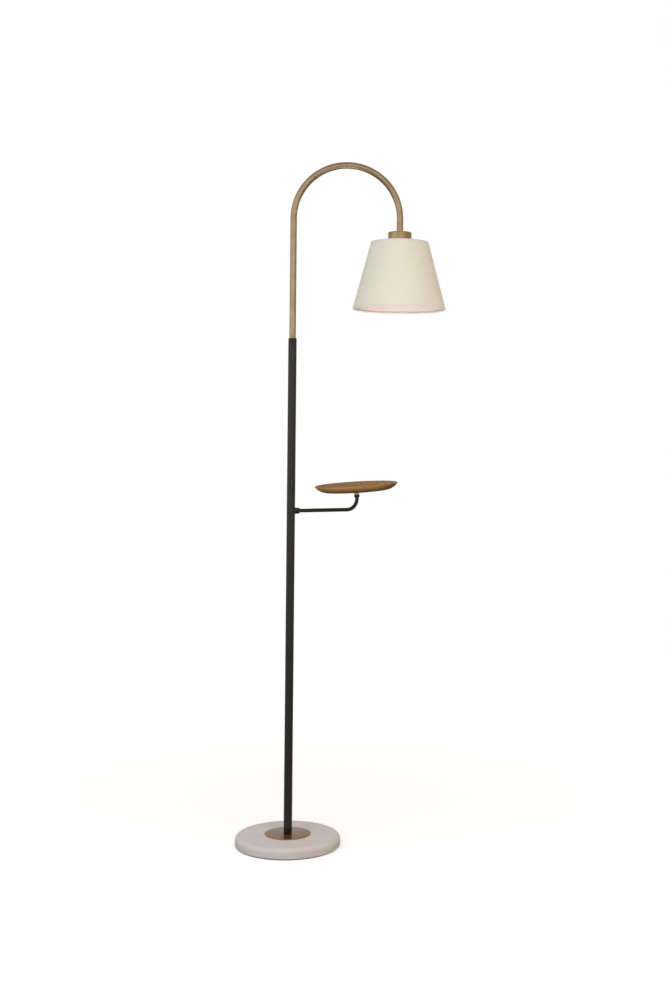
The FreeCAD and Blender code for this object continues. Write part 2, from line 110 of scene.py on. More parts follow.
# ---------------------------------------------------------------------------
# Mesh building
# ---------------------------------------------------------------------------
class Build:
    """Collects lofted skins and makes one object of them."""

    def __init__(self):
        self.verts, self.faces, self.uvs, self.mi = [], [], [], []

    def loft(self, rings, loop=False, around=True, uvfun=None, mat=None):
        """rings: lists of points (mm), all n long, or one point for a pole."""
        n = max(len(r) for r in rings)
        idx = []
        for r in rings:
            base = len(self.verts)
            self.verts.extend(tuple(p) for p in r)
            idx.append([base] * n if len(r) == 1 else list(range(base, base + n)))
        count = len(rings) if loop else len(rings) - 1
        cols = n if around else n - 1
        for i in range(count):
            k = (i + 1) % len(rings)
            for j in range(cols):
                j2 = (j + 1) % n
                quad = [(idx[i][j], i, j), (idx[i][j2], i, j + 1), (idx[k][j2], i + 1, j + 1), (idx[k][j], i + 1, j)]
                seen, keep = set(), []
                for q in quad:
                    if q[0] not in seen:
                        seen.add(q[0])
                        keep.append(q)
                if len(keep) < 3:
                    continue
                self.faces.append([q[0] for q in keep])
                self.uvs.append([uvfun(q[1], q[2], n) if uvfun else (q[2] / n, q[1] * 0.01) for q in keep])
                self.mi.append(mat(i, j) if callable(mat) else (mat or 0))

    def lathe(self, prof, n=192, cx=0.0, cy=0.0, loop=True, xf=None, rfun=None, mat=None, uvr=None, uvfun=None):
        """Turned skin of the profile (radius, height) about the vertical through cx, cy."""
        rings, run, total = [], [0.0], 0.0
        pts = prof + [prof[0]] if loop else prof
        for a, b in zip(pts, pts[1:]):
            total += math.hypot(b[0] - a[0], b[1] - a[1])
            run.append(total)
        ref = uvr or max(p[0] for p in prof)
        for r, z in prof:
            if r < 1e-6:
                rings.append([(cx, cy, z)])
                continue
            ring = []
            for j in range(n):
                a = TAU * j / n
                rr, zz = rfun(r, z, a) if rfun else (r, z)
                ring.append((cx + rr * math.cos(a), cy + rr * math.sin(a), zz))
            rings.append(ring)
        if xf:
            rings = [[xf(p) for p in ring] for ring in rings]
        if uvfun is None:
            def uvfun(i, j, nn):
                return (j / nn * TAU * ref * MM, run[min(i, len(run) - 1)] * MM)
        self.loft(rings, loop=loop, uvfun=uvfun, mat=mat)

    def sweep(self, stations, n=48, loop=False, mat=None):
        """stations: (centre, side, other, radius); side and other span each circle."""
        rings, run, total = [], [0.0], 0.0
        for s, t in zip(stations, stations[1:] + stations[:1]):
            total += (Vector(t[0]) - Vector(s[0])).length + abs(t[3] - s[3])
            run.append(total)
        ref = max(s[3] for s in stations)
        for c, e1, e2, r in stations:
            if r < 1e-6:
                rings.append([tuple(c)])
                continue
            ring = []
            for j in range(n):
                a = TAU * j / n
                ring.append(tuple(Vector(c) + (Vector(e1) * math.cos(a) + Vector(e2) * math.sin(a)) * r))
            rings.append(ring)

        def uvfun(i, j, nn):
            return (j / nn * TAU * ref * MM, run[min(i, len(run) - 1)] * MM)
        self.loft(rings, loop=loop, uvfun=uvfun, mat=mat)

    def make(self, name, mats, body, nodes=(), sharp=38.0):
        me = bpy.data.meshes.new(name)
        me.from_pydata([(x * MM, y * MM, z * MM) for x, y, z in self.verts], [], self.faces)
        layer = me.uv_layers.new(name="run")
        flat = []
        for u in self.uvs:
            for a in u:
                flat.extend(a)
        layer.data.foreach_set("uv", flat)
        for mt in mats:
            me.materials.append(mt)
        me.polygons.foreach_set("material_index", self.mi)
        bm = bmesh.new()
        bm.from_mesh(me)
        bmesh.ops.recalc_face_normals(bm, faces=bm.faces)
        bm.to_mesh(me)
        bm.free()
        me.polygons.foreach_set("use_smooth", [True] * len(me.polygons))
        me.set_sharp_from_angle(angle=math.radians(sharp))
        me.update()
        ob = bpy.data.objects.new(name, me)
        scene.collection.objects.link(ob)
        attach(ob, body)
        if nodes:
            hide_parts(*nodes)
        return ob


def arc(cx, cz, r, a0, a1, k=8):
    """points of an arc in the profile plane, degrees"""
    return [(cx + r * math.cos(math.radians(a0 + (a1 - a0) * i / k)),
             cz + r * math.sin(math.radians(a0 + (a1 - a0) * i / k))) for i in range(k + 1)]


def line(a, b, k):
    return [(a[0] + (b[0] - a[0]) * i / k, a[1] + (b[1] - a[1]) * i / k) for i in range(1, k)]


def rounded(pts, radii, k=4, loop=True):
    """polygon profile with its corners rounded; radii match the points"""
    out = []
    n = len(pts)
    for i, (p, r) in enumerate(zip(pts, radii)):
        if r <= 0 or (not loop and i in (0, n - 1)):
            out.append(p)
            continue
        a, b = Vector(pts[i - 1]), Vector(pts[(i + 1) % n])
        c = Vector(p)
        u, v = (a - c).normalized(), (b - c).normalized()
        half = u.angle(v) / 2.0
        if abs(half - math.pi / 2) < 1e-3:
            out.append(p)
            continue
        d = r / math.tan(half)
        centre = c + (u + v).normalized() * (r / math.sin(half))
        p0, p1 = c + u * d, c + v * d
        a0 = math.atan2(p0.y - centre.y, p0.x - centre.x)
        a1 = math.atan2(p1.y - centre.y, p1.x - centre.x)
        da = (a1 - a0 + math.pi) % TAU - math.pi
        for t in range(k + 1):
            ang = a0 + da * t / k
            out.append((centre.x + r * math.cos(ang), centre.y + r * math.sin(ang)))
    return out


# ---------------------------------------------------------------------------
# Material building
# ---------------------------------------------------------------------------
class Mat:
    def __init__(self, name, **consts):
        self.m = bpy.data.materials.new(name)
        self.m.use_nodes = True
        self.nt = self.m.node_tree
        self.nt.nodes.clear()
        self.out = self.nt.nodes.new("ShaderNodeOutputMaterial")
        self.b = self.nt.nodes.new("ShaderNodeBsdfPrincipled")
        self.nt.links.new(self.b.outputs["BSDF"], self.out.inputs["Surface"])
        self.obj = self.nt.nodes.new("ShaderNodeTexCoord").outputs["Object"]
        self.const(**consts)

    def const(self, **kw):
        for k, v in kw.items():
            self.b.inputs[k.replace("_", " ")].default_value = v

    def _in(self, sock, v):
        if isinstance(v, bpy.types.NodeSocket):
            self.nt.links.new(v, sock)
        elif v is not None:
            sock.default_value = v

    def uv(self, name="run"):
        nd = self.nt.nodes.new("ShaderNodeUVMap")
        nd.uv_map = name
        return nd.outputs["UV"]

    def map(self, vec, scale=(1, 1, 1), rot=(0, 0, 0), loc=(0, 0, 0)):
        nd = self.nt.nodes.new("ShaderNodeMapping")
        nd.inputs["Scale"].default_value = scale
        nd.inputs["Rotation"].default_value = rot
        nd.inputs["Location"].default_value = loc
        self._in(nd.inputs["Vector"], vec)
        return nd.outputs["Vector"]

    def noise(self, vec, scale, detail=3.0, rough=0.5, dist=0.0, color=False):
        nd = self.nt.nodes.new("ShaderNodeTexNoise")
        nd.inputs["Scale"].default_value = scale
        nd.inputs["Detail"].default_value = detail
        nd.inputs["Roughness"].default_value = rough
        nd.inputs["Distortion"].default_value = dist
        self._in(nd.inputs["Vector"], vec)
        return nd.outputs["Color"] if color else nd.outputs["Fac"]

    def voro(self, vec, scale, feature="F1", out="Distance", rand=1.0):
        nd = self.nt.nodes.new("ShaderNodeTexVoronoi")
        nd.feature = feature
        nd.inputs["Scale"].default_value = scale
        nd.inputs["Randomness"].default_value = rand
        self._in(nd.inputs["Vector"], vec)
        return nd.outputs[out]

    def ramp(self, fac, stops, mode="LINEAR"):
        nd = self.nt.nodes.new("ShaderNodeValToRGB")
        nd.color_ramp.interpolation = mode
        el = nd.color_ramp.elements
        while len(el) < len(stops):
            el.new(0.5)
        for e, (pos, col) in zip(el, stops):
            e.position = pos
            e.color = (*col, 1.0) if len(col) == 3 else col
        self._in(nd.inputs["Fac"], fac)
        return nd.outputs["Color"]

    def mix(self, fac, a, b, blend="MIX"):
        nd = self.nt.nodes.new("ShaderNodeMix")
        nd.data_type = "RGBA"
        nd.blend_type = blend
        self._in(nd.inputs[0], fac)
        self._in(nd.inputs[6], (*a, 1.0) if isinstance(a, tuple) and len(a) == 3 else a)
        self._in(nd.inputs[7], (*b, 1.0) if isinstance(b, tuple) and len(b) == 3 else b)
        return nd.outputs[2]

    def math(self, op, a, b=None, c=None, clamp=False):
        nd = self.nt.nodes.new("ShaderNodeMath")
        nd.operation = op
        nd.use_clamp = clamp
        self._in(nd.inputs[0], a)
        self._in(nd.inputs[1], b)
        if c is not None:
            self._in(nd.inputs[2], c)
        return nd.outputs[0]

    def vmath(self, op, a, b=None, s=None):
        nd = self.nt.nodes.new("ShaderNodeVectorMath")
        nd.operation = op
        self._in(nd.inputs[0], a)
        self._in(nd.inputs[1], b)
        if s is not None:
            self._in(nd.inputs["Scale"], s)
        return nd.outputs["Value"] if op in ("LENGTH", "DOT_PRODUCT", "DISTANCE") else nd.outputs["Vector"]

    def range(self, v, a, b, c, d):
        nd = self.nt.nodes.new("ShaderNodeMapRange")
        for i, x in enumerate((a, b, c, d)):
            nd.inputs[i + 1].default_value = x
        self._in(nd.inputs[0], v)
        return nd.outputs[0]

    def split(self, vec):
        nd = self.nt.nodes.new("ShaderNodeSeparateXYZ")
        self._in(nd.inputs[0], vec)
        return nd.outputs

    def join(self, x=0.0, y=0.0, z=0.0):
        nd = self.nt.nodes.new("ShaderNodeCombineXYZ")
        for s, v in zip(nd.inputs, (x, y, z)):
            self._in(s, v)
        return nd.outputs[0]

    def bump(self, height, strength, dist, prev=None):
        nd = self.nt.nodes.new("ShaderNodeBump")
        nd.inputs["Strength"].default_value = strength
        nd.inputs["Distance"].default_value = dist
        self._in(nd.inputs["Height"], height)
        if prev is not None:
            self.nt.links.new(prev, nd.inputs["Normal"])
        return nd.outputs["Normal"]

    def to(self, out, name):
        self.nt.links.new(out, self.b.inputs[name])

    def warp(self, vec, scale, amount, detail=2.0):
        c = self.noise(vec, scale, detail, 0.5, 0.0, color=True)
        off = self.vmath("SUBTRACT", c, (0.5, 0.5, 0.5))
        return self.vmath("ADD", vec, self.vmath("SCALE", off, s=amount))


def m_stone():
    t = Mat("honed_stone", Metallic=0.0)
    t.const(**{"Specular_IOR_Level": 0.36})
    w = t.warp(t.obj, 9.0, 0.05)
    cloud = t.noise(w, 13.0, 5.0, 0.58)
    col = t.ramp(cloud, [(0.28, (0.687, 0.650, 0.650)), (0.44, (0.746, 0.690, 0.675)), (0.58, (0.771, 0.694, 0.665)),
                         (0.74, (0.806, 0.758, 0.746))])
    # broad patches: greyer, creamier and pinker stone run into each other
    patch = t.noise(t.warp(t.obj, 14.0, 0.03), 17.0, 2.0, 0.45, color=True)
    ps = t.split(patch)
    col = t.mix(t.range(ps[0], 0.42, 0.62, 0.0, 0.62), col, (0.697, 0.690, 0.675))
    col = t.mix(t.range(ps[1], 0.48, 0.66, 0.0, 0.58), col, (0.801, 0.665, 0.660))
    col = t.mix(t.range(ps[2], 0.50, 0.66, 0.0, 0.52), col, (0.816, 0.734, 0.634))
    # crushed-stone grains of slightly different tone
    chips = t.voro(t.warp(t.obj, 160.0, 0.004), 150.0, out="Color")
    lum = t.split(chips)[0]
    col = t.mix(0.5, col, t.ramp(lum, [(0.0, (0.44, 0.42, 0.405)), (0.5, (0.50, 0.50, 0.50)), (0.8, (0.54, 0.52, 0.50)),
                                       (1.0, (0.60, 0.585, 0.56))]), "SOFT_LIGHT")
    # thin healed veins
    vein = t.voro(t.warp(w, 22.0, 0.035, 4.0), 7.5, feature="DISTANCE_TO_EDGE")
    vmask = t.math("MULTIPLY", t.range(vein, 0.0, 0.022, 1.0, 0.0), t.range(t.noise(t.obj, 18.0, 3.0), 0.50, 0.66, 0.0, 0.20))
    col = t.mix(vmask, col, (0.66, 0.54, 0.48))
    fine = t.noise(t.obj, 520.0, 6.0, 0.62)
    col = t.mix(0.22, col, t.ramp(fine, [(0.3, (0.40, 0.39, 0.38)), (0.7, (0.60, 0.60, 0.60))]), "SOFT_LIGHT")
    # sparse pits left by the honing
    pit = t.voro(t.obj, 330.0)
    few = t.range(t.noise(t.obj, 60.0, 2.0), 0.56, 0.66, 0.0, 1.0)
    pmask = t.math("MULTIPLY", t.range(pit, 0.10, 0.26, 1.0, 0.0), few)
    col = t.mix(t.math("MULTIPLY", pmask, 0.35), col, (0.36, 0.31, 0.28))
    t.to(col, "Base Color")
    t.to(t.math("ADD", t.range(cloud, 0.3, 0.7, 0.46, 0.56), t.math("MULTIPLY", pmask, 0.25)), "Roughness")
    h = t.math("SUBTRACT", t.math("MULTIPLY", fine, 0.35), pmask)
    nrm = t.bump(h, 0.18, 0.0004)
    nrm = t.bump(cloud, 0.05, 0.002, nrm)
    t.to(nrm, "Normal")
    return t.m


def brass_color(t, vec, light, dark, spot):
    """antique brass: soft tarnish clouds and small darker spots"""
    tar = t.noise(t.warp(vec, 30.0, 0.02), 26.0, 5.0, 0.6)
    col = t.ramp(tar, [(0.28, dark), (0.52, tuple((a + b) / 2 for a, b in zip(light, dark))), (0.74, light)])
    sp = t.voro(t.warp(vec, 200.0, 0.003), 240.0)
    gate = t.range(t.noise(vec, 34.0, 3.0), 0.55, 0.68, 0.0, 1.0)
    mask = t.math("MULTIPLY", t.range(sp, 0.06, 0.2, 1.0, 0.0), gate)
    return t.mix(t.math("MULTIPLY", mask, 0.5), col, spot), tar, mask


def m_brass(name, along, metal=1.0, light=(0.495, 0.366, 0.222), dark=(0.401, 0.294, 0.174), rough=(0.40, 0.50), across=2600.0, lo=22.0):
    """along: coordinates with x across the brushing and y along it"""
    t = Mat(name, Metallic=metal)
    col, tar, spots = brass_color(t, t.obj, light, dark, (0.20, 0.135, 0.075))
    vec = along(t)
    s1 = t.noise(t.map(vec, (across, lo, 1.0)), 1.0, 4.0, 0.65)
    s2 = t.noise(t.map(vec, (across * 0.28, lo * 0.35, 1.0)), 1.0, 3.0, 0.6)
    streak = t.math("ADD", t.math("MULTIPLY", s1, 0.6), t.math("MULTIPLY", s2, 0.4))
    col = t.mix(0.20, col, t.ramp(streak, [(0.3, (0.36, 0.36, 0.36)), (0.7, (0.64, 0.64, 0.64))]), "SOFT_LIGHT")
    t.to(col, "Base Color")
    r = t.math("ADD", t.range(tar, 0.3, 0.7, rough[1], rough[0]), t.math("MULTIPLY", t.math("SUBTRACT", streak, 0.5), 0.16))
    t.to(t.math("ADD", r, t.math("MULTIPLY", spots, 0.2)), "Roughness")
    t.to(t.bump(streak, 0.10, 0.00012, t.bump(tar, 0.03, 0.001)), "Normal")
    return t.m


def along_run(t):
    return t.uv("run")


def turned(cx, cy):
    """coordinates of a turned face: x is the radius, y the way round"""
    def f(t):
        p = t.split(t.vmath("SUBTRACT", t.obj, (cx * MM, cy * MM, 0.0)))
        rad = t.math("SQRT", t.math("ADD", t.math("MULTIPLY", p[0], p[0]), t.math("MULTIPLY", p[1], p[1])))
        ang = t.math("ARCTAN2", p[1], p[0])
        return t.join(t.math("ADD", rad, p[2]), t.math("MULTIPLY", ang, 0.02), 0.0)
    return f


def m_black(name="black_powder_coat", lift=1.0):
    t = Mat(name, Metallic=0.0)
    t.const(**{"Specular_IOR_Level": 0.47})
    big = t.noise(t.obj, 14.0, 4.0, 0.55)
    peel = t.noise(t.obj, 620.0, 2.0, 0.45)
    grit = t.noise(t.obj, 2400.0, 3.0, 0.6)
    col = t.ramp(big, [(0.3, (0.0085 * lift, 0.0085 * lift, 0.008 * lift)), (0.7, (0.0145 * lift, 0.014 * lift, 0.0128 * lift))])
    # painted glints: light specks mixed into the coat's colour
    painted_glint_flecks = t.range(grit, 0.62, 0.78, 0.0, 0.5)
    col = t.mix(painted_glint_flecks, col, (0.036, 0.035, 0.032))
    # a little dust and handling wear, lighter
    rub = t.range(t.noise(t.warp(t.obj, 40.0, 0.02), 55.0, 6.0, 0.7), 0.62, 0.80, 0.0, 0.22)
    col = t.mix(rub, col, (0.055, 0.052, 0.047))
    t.to(col, "Base Color")
    t.to(t.math("ADD", t.range(big, 0.3, 0.7, 0.29, 0.36), t.math("MULTIPLY", peel, 0.08)), "Roughness")
    t.to(t.bump(grit, 0.10, 0.00006, t.bump(peel, 0.22, 0.00025)), "Normal")
    return t.m


def m_wood():
    t = Mat("oiled_wood", Metallic=0.0)
    t.const(**{"Specular_IOR_Level": 0.27})
    # grain runs left to right; the log's axis lies below and behind the board
    v = t.vmath("SUBTRACT", t.obj, (0.167, 0.104, 0.940))
    v = t.map(v, rot=(0.0, 0.06, math.radians(-7.0)))
    v = t.warp(v, 7.0, 0.016, 3.0)
    v = t.warp(t.map(v, (0.16, 1.0, 1.0)), 34.0, 0.0055, 3.0)
    p = t.split(v)
    dy = t.math("ADD", p[1], -0.035)
    dz = t.math("ADD", p[2], 0.085)
    rad = t.math("SQRT", t.math("ADD", t.math("MULTIPLY", dy, dy), t.math("MULTIPLY", dz, dz)))
    drift = t.noise(t.map(v, (3.0, 16.0, 16.0)), 1.0, 3.0, 0.5)
    year = t.math("ADD", t.math("MULTIPLY", rad, 165.0), t.math("MULTIPLY", drift, 2.6))
    ring = t.math("FRACT", year)
    ring2 = t.math("FRACT", t.math("MULTIPLY", year, 3.7))
    col = t.ramp(ring, [(0.0, (0.545, 0.292, 0.092)), (0.35, (0.630, 0.352, 0.118)), (0.62, (0.490, 0.255, 0.078)),
                        (0.82, (0.350, 0.172, 0.051)), (0.91, (0.275, 0.130, 0.038)), (0.96, (0.400, 0.205, 0.062)),
                        (1.0, (0.545, 0.292, 0.092))])
    calm = t.range(t.noise(t.map(t.obj, (5.0, 26.0, 26.0)), 1.0, 3.0, 0.6), 0.36, 0.64, 0.12, 0.72)
    col = t.mix(calm, col, (0.520, 0.276, 0.086))
    col = t.mix(0.35, col, t.ramp(ring2, [(0.0, (0.56, 0.55, 0.54)), (0.7, (0.46, 0.45, 0.44)), (0.9, (0.34, 0.33, 0.32)),
                                          (1.0, (0.56, 0.55, 0.54))]), "SOFT_LIGHT")
    broad = t.noise(t.map(t.obj, (2.6, 30.0, 30.0)), 1.0, 4.0, 0.6)
    col = t.mix(0.55, col, t.ramp(broad, [(0.3, (0.34, 0.33, 0.32)), (0.5, (0.5, 0.5, 0.5)), (0.7, (0.66, 0.62, 0.56))]), "SOFT_LIGHT")
    q0 = t.vmath("SUBTRACT", t.obj, (TRAY_S * CA * MM, TRAY_S * SA * MM, TRAY_Z * MM))
    zl = t.vmath("DOT_PRODUCT", q0, (-math.sin(TILT) * CA, -math.sin(TILT) * SA, math.cos(TILT)))
    q2 = t.vmath("DOT_PRODUCT", q0, q0)
    rl = t.math("SQRT", t.math("SUBTRACT", q2, t.math("MULTIPLY", zl, zl)))
    zw = t.math("ADD", zl, t.math("MULTIPLY", t.math("SUBTRACT", t.noise(t.map(t.obj, (12.0, 60.0, 60.0)), 1.0, 3.0), 0.5), 0.0045))
    middle = t.math("ADD", t.math("MULTIPLY", zl, t.math("SUBTRACT", 0.10, t.math("MULTIPLY", zl, 108.0))), 0.1114)
    outside = t.range(t.math("SUBTRACT", rl, middle), -0.0004, 0.0008, 0.0, 1.0)
    outside = t.math("MAXIMUM", outside, t.range(zl, -0.0115, -0.0125, 0.0, 1.0))
    # painted light: the upper part of the outside wall is coloured paler
    painted_light_upper_wall = t.range(zw, -0.0125, -0.0050, 0.0, 0.72)
    col = t.mix(t.math("MULTIPLY", outside, painted_light_upper_wall), col, (0.800, 0.425, 0.136))
    # painted shade: the lower part of the outside wall is coloured darker
    painted_shade_lower_wall = t.range(zw, -0.0100, -0.0155, 0.0, 0.64)
    col = t.mix(t.math("MULTIPLY", outside, painted_shade_lower_wall), col, (0.200, 0.095, 0.028))
    # painted shade: the outside of the tray's right end is coloured darker
    painted_shade_right_end = t.range(t.math("ADD", t.split(t.obj)[0], t.math("MULTIPLY", drift, 0.03)), 0.236, 0.288, 0.0, 0.78)
    col = t.mix(t.math("MULTIPLY", outside, painted_shade_right_end), col, (0.150, 0.068, 0.022))
    # painted sheen: the inside of the dish is mixed towards grey-brown, more near the rim
    painted_sheen_inside = t.math("MULTIPLY", t.math("SUBTRACT", 1.0, outside), t.range(zl, -0.0090, -0.0010, 0.14, 0.46))
    col = t.mix(painted_sheen_inside, col, (0.250, 0.215, 0.150))
    fibre = t.noise(t.map(t.obj, (34.0, 1500.0, 1500.0)), 1.0, 4.0, 0.65)
    col = t.mix(0.55, col, t.ramp(fibre, [(0.32, (0.28, 0.27, 0.26)), (0.68, (0.68, 0.68, 0.67))]), "SOFT_LIGHT")
    pore = t.noise(t.map(t.obj, (120.0, 2300.0, 2300.0)), 1.0, 2.0, 0.5)
    pm = t.range(pore, 0.63, 0.72, 0.0, 1.0)
    col = t.mix(t.math("MULTIPLY", pm, 0.55), col, (0.050, 0.020, 0.008))
    t.to(col, "Base Color")
    t.to(t.math("ADD", t.range(ring, 0.0, 1.0, 0.36, 0.44), t.math("MULTIPLY", pm, 0.25)), "Roughness")
    q = t.split(t.vmath("SUBTRACT", t.obj, (0.167, 0.104, 0.940)))
    rr = t.math("SQRT", t.math("ADD", t.math("MULTIPLY", q[0], q[0]), t.math("MULTIPLY", q[1], q[1])))
    tool = t.math("SINE", t.math("MULTIPLY", rr, TAU / 0.0011))
    h = t.math("SUBTRACT", t.math("MULTIPLY", fibre, 0.5), t.math("MULTIPLY", pm, 0.9))
    t.to(t.bump(h, 0.28, 0.00025, t.bump(tool, 0.05, 0.00008)), "Normal")
    return t.m


def weave(t, uv, pitch=0.00062):
    """plain weave: returns height and slub tone, from flat-cloth coordinates in metres"""
    j1 = t.noise(t.map(uv, (40.0, 900.0, 1.0)), 1.0, 2.0)
    j2 = t.noise(t.map(uv, (900.0, 40.0, 1.0)), 1.0, 2.0)
    s = t.split(uv)
    u = t.math("ADD", s[0], t.math("MULTIPLY", t.math("SUBTRACT", j2, 0.5), pitch * 0.9))
    v = t.math("ADD", s[1], t.math("MULTIPLY", t.math("SUBTRACT", j1, 0.5), pitch * 0.9))
    a = t.math("SINE", t.math("MULTIPLY", u, math.pi / pitch))
    b = t.math("SINE", t.math("MULTIPLY", v, math.pi / pitch))
    over = t.math("MULTIPLY", a, b)
    warp = t.math("ABSOLUTE", a)
    weft = t.math("ABSOLUTE", b)
    pick = t.range(over, -0.25, 0.25, 0.0, 1.0)
    h = t.math("ADD", t.math("MULTIPLY", warp, pick), t.math("MULTIPLY", weft, t.math("SUBTRACT", 1.0, pick)))
    slub = t.math("ADD", t.math("MULTIPLY", t.noise(t.map(uv, (14.0, 1250.0, 1.0)), 1.0, 3.0, 0.6), 0.5),
                  t.math("MULTIPLY", t.noise(t.map(uv, (1250.0, 14.0, 1.0)), 1.0, 3.0, 0.6), 0.5))
    return h, slub


def m_fabric(name="shade_linen", tint=(1.0, 1.0, 1.0), depth=0.30, sss=0.7, painted_underside_shade=0.0):
    t = Mat(name, Metallic=0.0)
    t.const(**{"Specular_IOR_Level": 0.12, "Sheen_Weight": 0.03, "Sheen_Roughness": 0.5,
               "Subsurface_Weight": sss, "Subsurface_Scale": 0.003, "Subsurface_Radius": (1.0, 0.85, 0.7)})
    uv = t.uv("run")
    h, slub = weave(t, uv)
    a = tuple(x * y for x, y in zip((0.858, 0.806, 0.676), tint))
    b = tuple(x * y for x, y in zip((0.908, 0.860, 0.744), tint))
    col = t.ramp(slub, [(0.34, a), (0.66, b)])
    col = t.mix(0.20, col, t.ramp(h, [(0.0, (0.36, 0.36, 0.36)), (0.7, (0.56, 0.56, 0.56))]), "SOFT_LIGHT")
    cloud = t.noise(t.obj, 16.0, 3.0)
    col = t.mix(0.12, col, t.ramp(cloud, [(0.3, (0.42, 0.42, 0.42)), (0.7, (0.58, 0.58, 0.58))]), "SOFT_LIGHT")
    # painted shade: a darker strip along the lowest half millimetre of the cloth
    if painted_underside_shade:
        z = t.split(t.obj)[2]
        low = t.range(z, SH_Z0 * MM + 0.0001, SH_Z0 * MM + 0.0005, painted_underside_shade, 0.0)
        col = t.mix(low, col, (0.56, 0.50, 0.42))
    t.to(col, "Base Color")
    t.to(t.range(slub, 0.3, 0.7, 0.86, 0.78), "Roughness")
    t.to(t.bump(h, depth, 0.00022, t.bump(slub, 0.25, 0.0003)), "Normal")
    return t.m


def m_lining():
    t = Mat("shade_lining", Metallic=0.0)
    t.const(**{"Specular_IOR_Level": 0.3, "Subsurface_Weight": 0.7, "Subsurface_Scale": 0.003,
               "Subsurface_Radius": (1.0, 0.85, 0.75)})
    uv = t.uv("run")
    h, slub = weave(t, uv)
    col = t.ramp(t.noise(t.obj, 22.0, 4.0), [(0.3, (0.92, 0.742, 0.682)), (0.7, (0.95, 0.787, 0.727))])
    col = t.mix(0.15, col, t.ramp(slub, [(0.35, (0.40, 0.40, 0.40)), (0.65, (0.60, 0.60, 0.60))]), "SOFT_LIGHT")
    t.to(col, "Base Color")
    t.to(t.range(slub, 0.3, 0.7, 0.45, 0.55), "Roughness")
    t.to(t.bump(h, 0.06, 0.0001, t.bump(t.noise(t.obj, 60.0, 2.0), 0.05, 0.0006)), "Normal")
    return t.m


def m_felt():
    t = Mat("needled_felt", Metallic=0.0)
    t.const(**{"Specular_IOR_Level": 0.15, "Sheen_Weight": 0.35, "Sheen_Roughness": 0.6})
    f1 = t.noise(t.warp(t.obj, 300.0, 0.004, 3.0), 900.0, 5.0, 0.7)
    f2 = t.noise(t.obj, 45.0, 4.0)
    col = t.ramp(f1, [(0.3, (0.010, 0.010, 0.011)), (0.7, (0.045, 0.044, 0.043))])
    col = t.mix(0.3, col, t.ramp(f2, [(0.3, (0.35, 0.35, 0.35)), (0.7, (0.62, 0.62, 0.62))]), "SOFT_LIGHT")
    t.to(col, "Base Color")
    t.to(t.range(f1, 0.3, 0.7, 0.98, 0.88), "Roughness")
    t.to(t.bump(f1, 0.6, 0.0006, t.bump(f2, 0.1, 0.001)), "Normal")
    return t.m


def m_zinc():
    t = Mat("zinc_plated_steel", Metallic=1.0)
    n1 = t.noise(t.warp(t.obj, 60.0, 0.01), 90.0, 5.0, 0.6)
    n2 = t.noise(t.map(t.obj, (300.0, 300.0, 2600.0)), 1.0, 3.0)
    col = t.ramp(n1, [(0.3, (0.50, 0.51, 0.53)), (0.55, (0.62, 0.63, 0.64)), (0.75, (0.66, 0.65, 0.60))])
    t.to(t.mix(0.25, col, t.ramp(n2, [(0.3, (0.4, 0.4, 0.4)), (0.7, (0.6, 0.6, 0.6))]), "SOFT_LIGHT"), "Base Color")
    t.to(t.math("ADD", t.range(n1, 0.3, 0.7, 0.26, 0.38), t.math("MULTIPLY", n2, 0.08)), "Roughness")
    t.to(t.bump(n2, 0.08, 0.0001, t.bump(n1, 0.05, 0.0006)), "Normal")
    return t.m


def m_plastic(name, lo, hi, rough, spec=0.5, grain=900.0, depth=0.12):
    t = Mat(name, Metallic=0.0)
    t.const(**{"Specular_IOR_Level": spec})
    n1 = t.noise(t.obj, grain, 3.0, 0.5)
    n2 = t.noise(t.obj, 35.0, 4.0, 0.55)
    n3 = t.noise(t.warp(t.obj, 80.0, 0.01), 140.0, 5.0, 0.7)
    col = t.ramp(n2, [(0.3, lo), (0.7, hi)])
    scuff = t.range(n3, 0.66, 0.8, 0.0, 0.25)
    col = t.mix(scuff, col, tuple(min(1.0, x * 1.5 + 0.02) for x in hi))
    t.to(col, "Base Color")
    t.to(t.math("ADD", t.range(n2, 0.3, 0.7, rough - 0.05, rough + 0.05), t.math("MULTIPLY", scuff, 0.4)), "Roughness")
    t.to(t.bump(n1, depth, 0.00012, t.bump(n2, 0.04, 0.001)), "Normal")
    return t.m


def m_white_wire():
    t = Mat("white_epoxy_wire", Metallic=0.0)
    t.const(**{"Specular_IOR_Level": 0.5})
    n1 = t.noise(t.obj, 60.0, 4.0)
    n2 = t.noise(t.obj, 800.0, 2.0)
    col = t.ramp(n1, [(0.3, (0.74, 0.725, 0.69)), (0.7, (0.81, 0.80, 0.77))])
    chip = t.range(t.noise(t.warp(t.obj, 90.0, 0.01), 130.0, 5.0, 0.7), 0.70, 0.80, 0.0, 0.35)
    col = t.mix(chip, col, (0.45, 0.43, 0.40))
    t.to(col, "Base Color")
    t.to(t.range(n1, 0.3, 0.7, 0.34, 0.46), "Roughness")
    t.to(t.bump(n2, 0.15, 0.0002), "Normal")
    return t.m


def m_porcelain():
    t = Mat("porcelain", Metallic=0.0)
    t.const(**{"Specular_IOR_Level": 0.5, "Coat_Weight": 0.3, "Coat_Roughness": 0.15})
    n1 = t.noise(t.obj, 70.0, 4.0)
    n2 = t.noise(t.obj, 1200.0, 3.0)
    col = t.ramp(n1, [(0.3, (0.72, 0.70, 0.645)), (0.7, (0.80, 0.785, 0.74))])
    speck = t.range(t.voro(t.obj, 420.0), 0.05, 0.12, 0.4, 0.0)
    t.to(t.mix(speck, col, (0.35, 0.30, 0.24)), "Base Color")
    t.to(t.range(n2, 0.3, 0.7, 0.32, 0.46), "Roughness")
    t.to(t.bump(n2, 0.08, 0.0001, t.bump(n1, 0.05, 0.001)), "Normal")
    return t.m


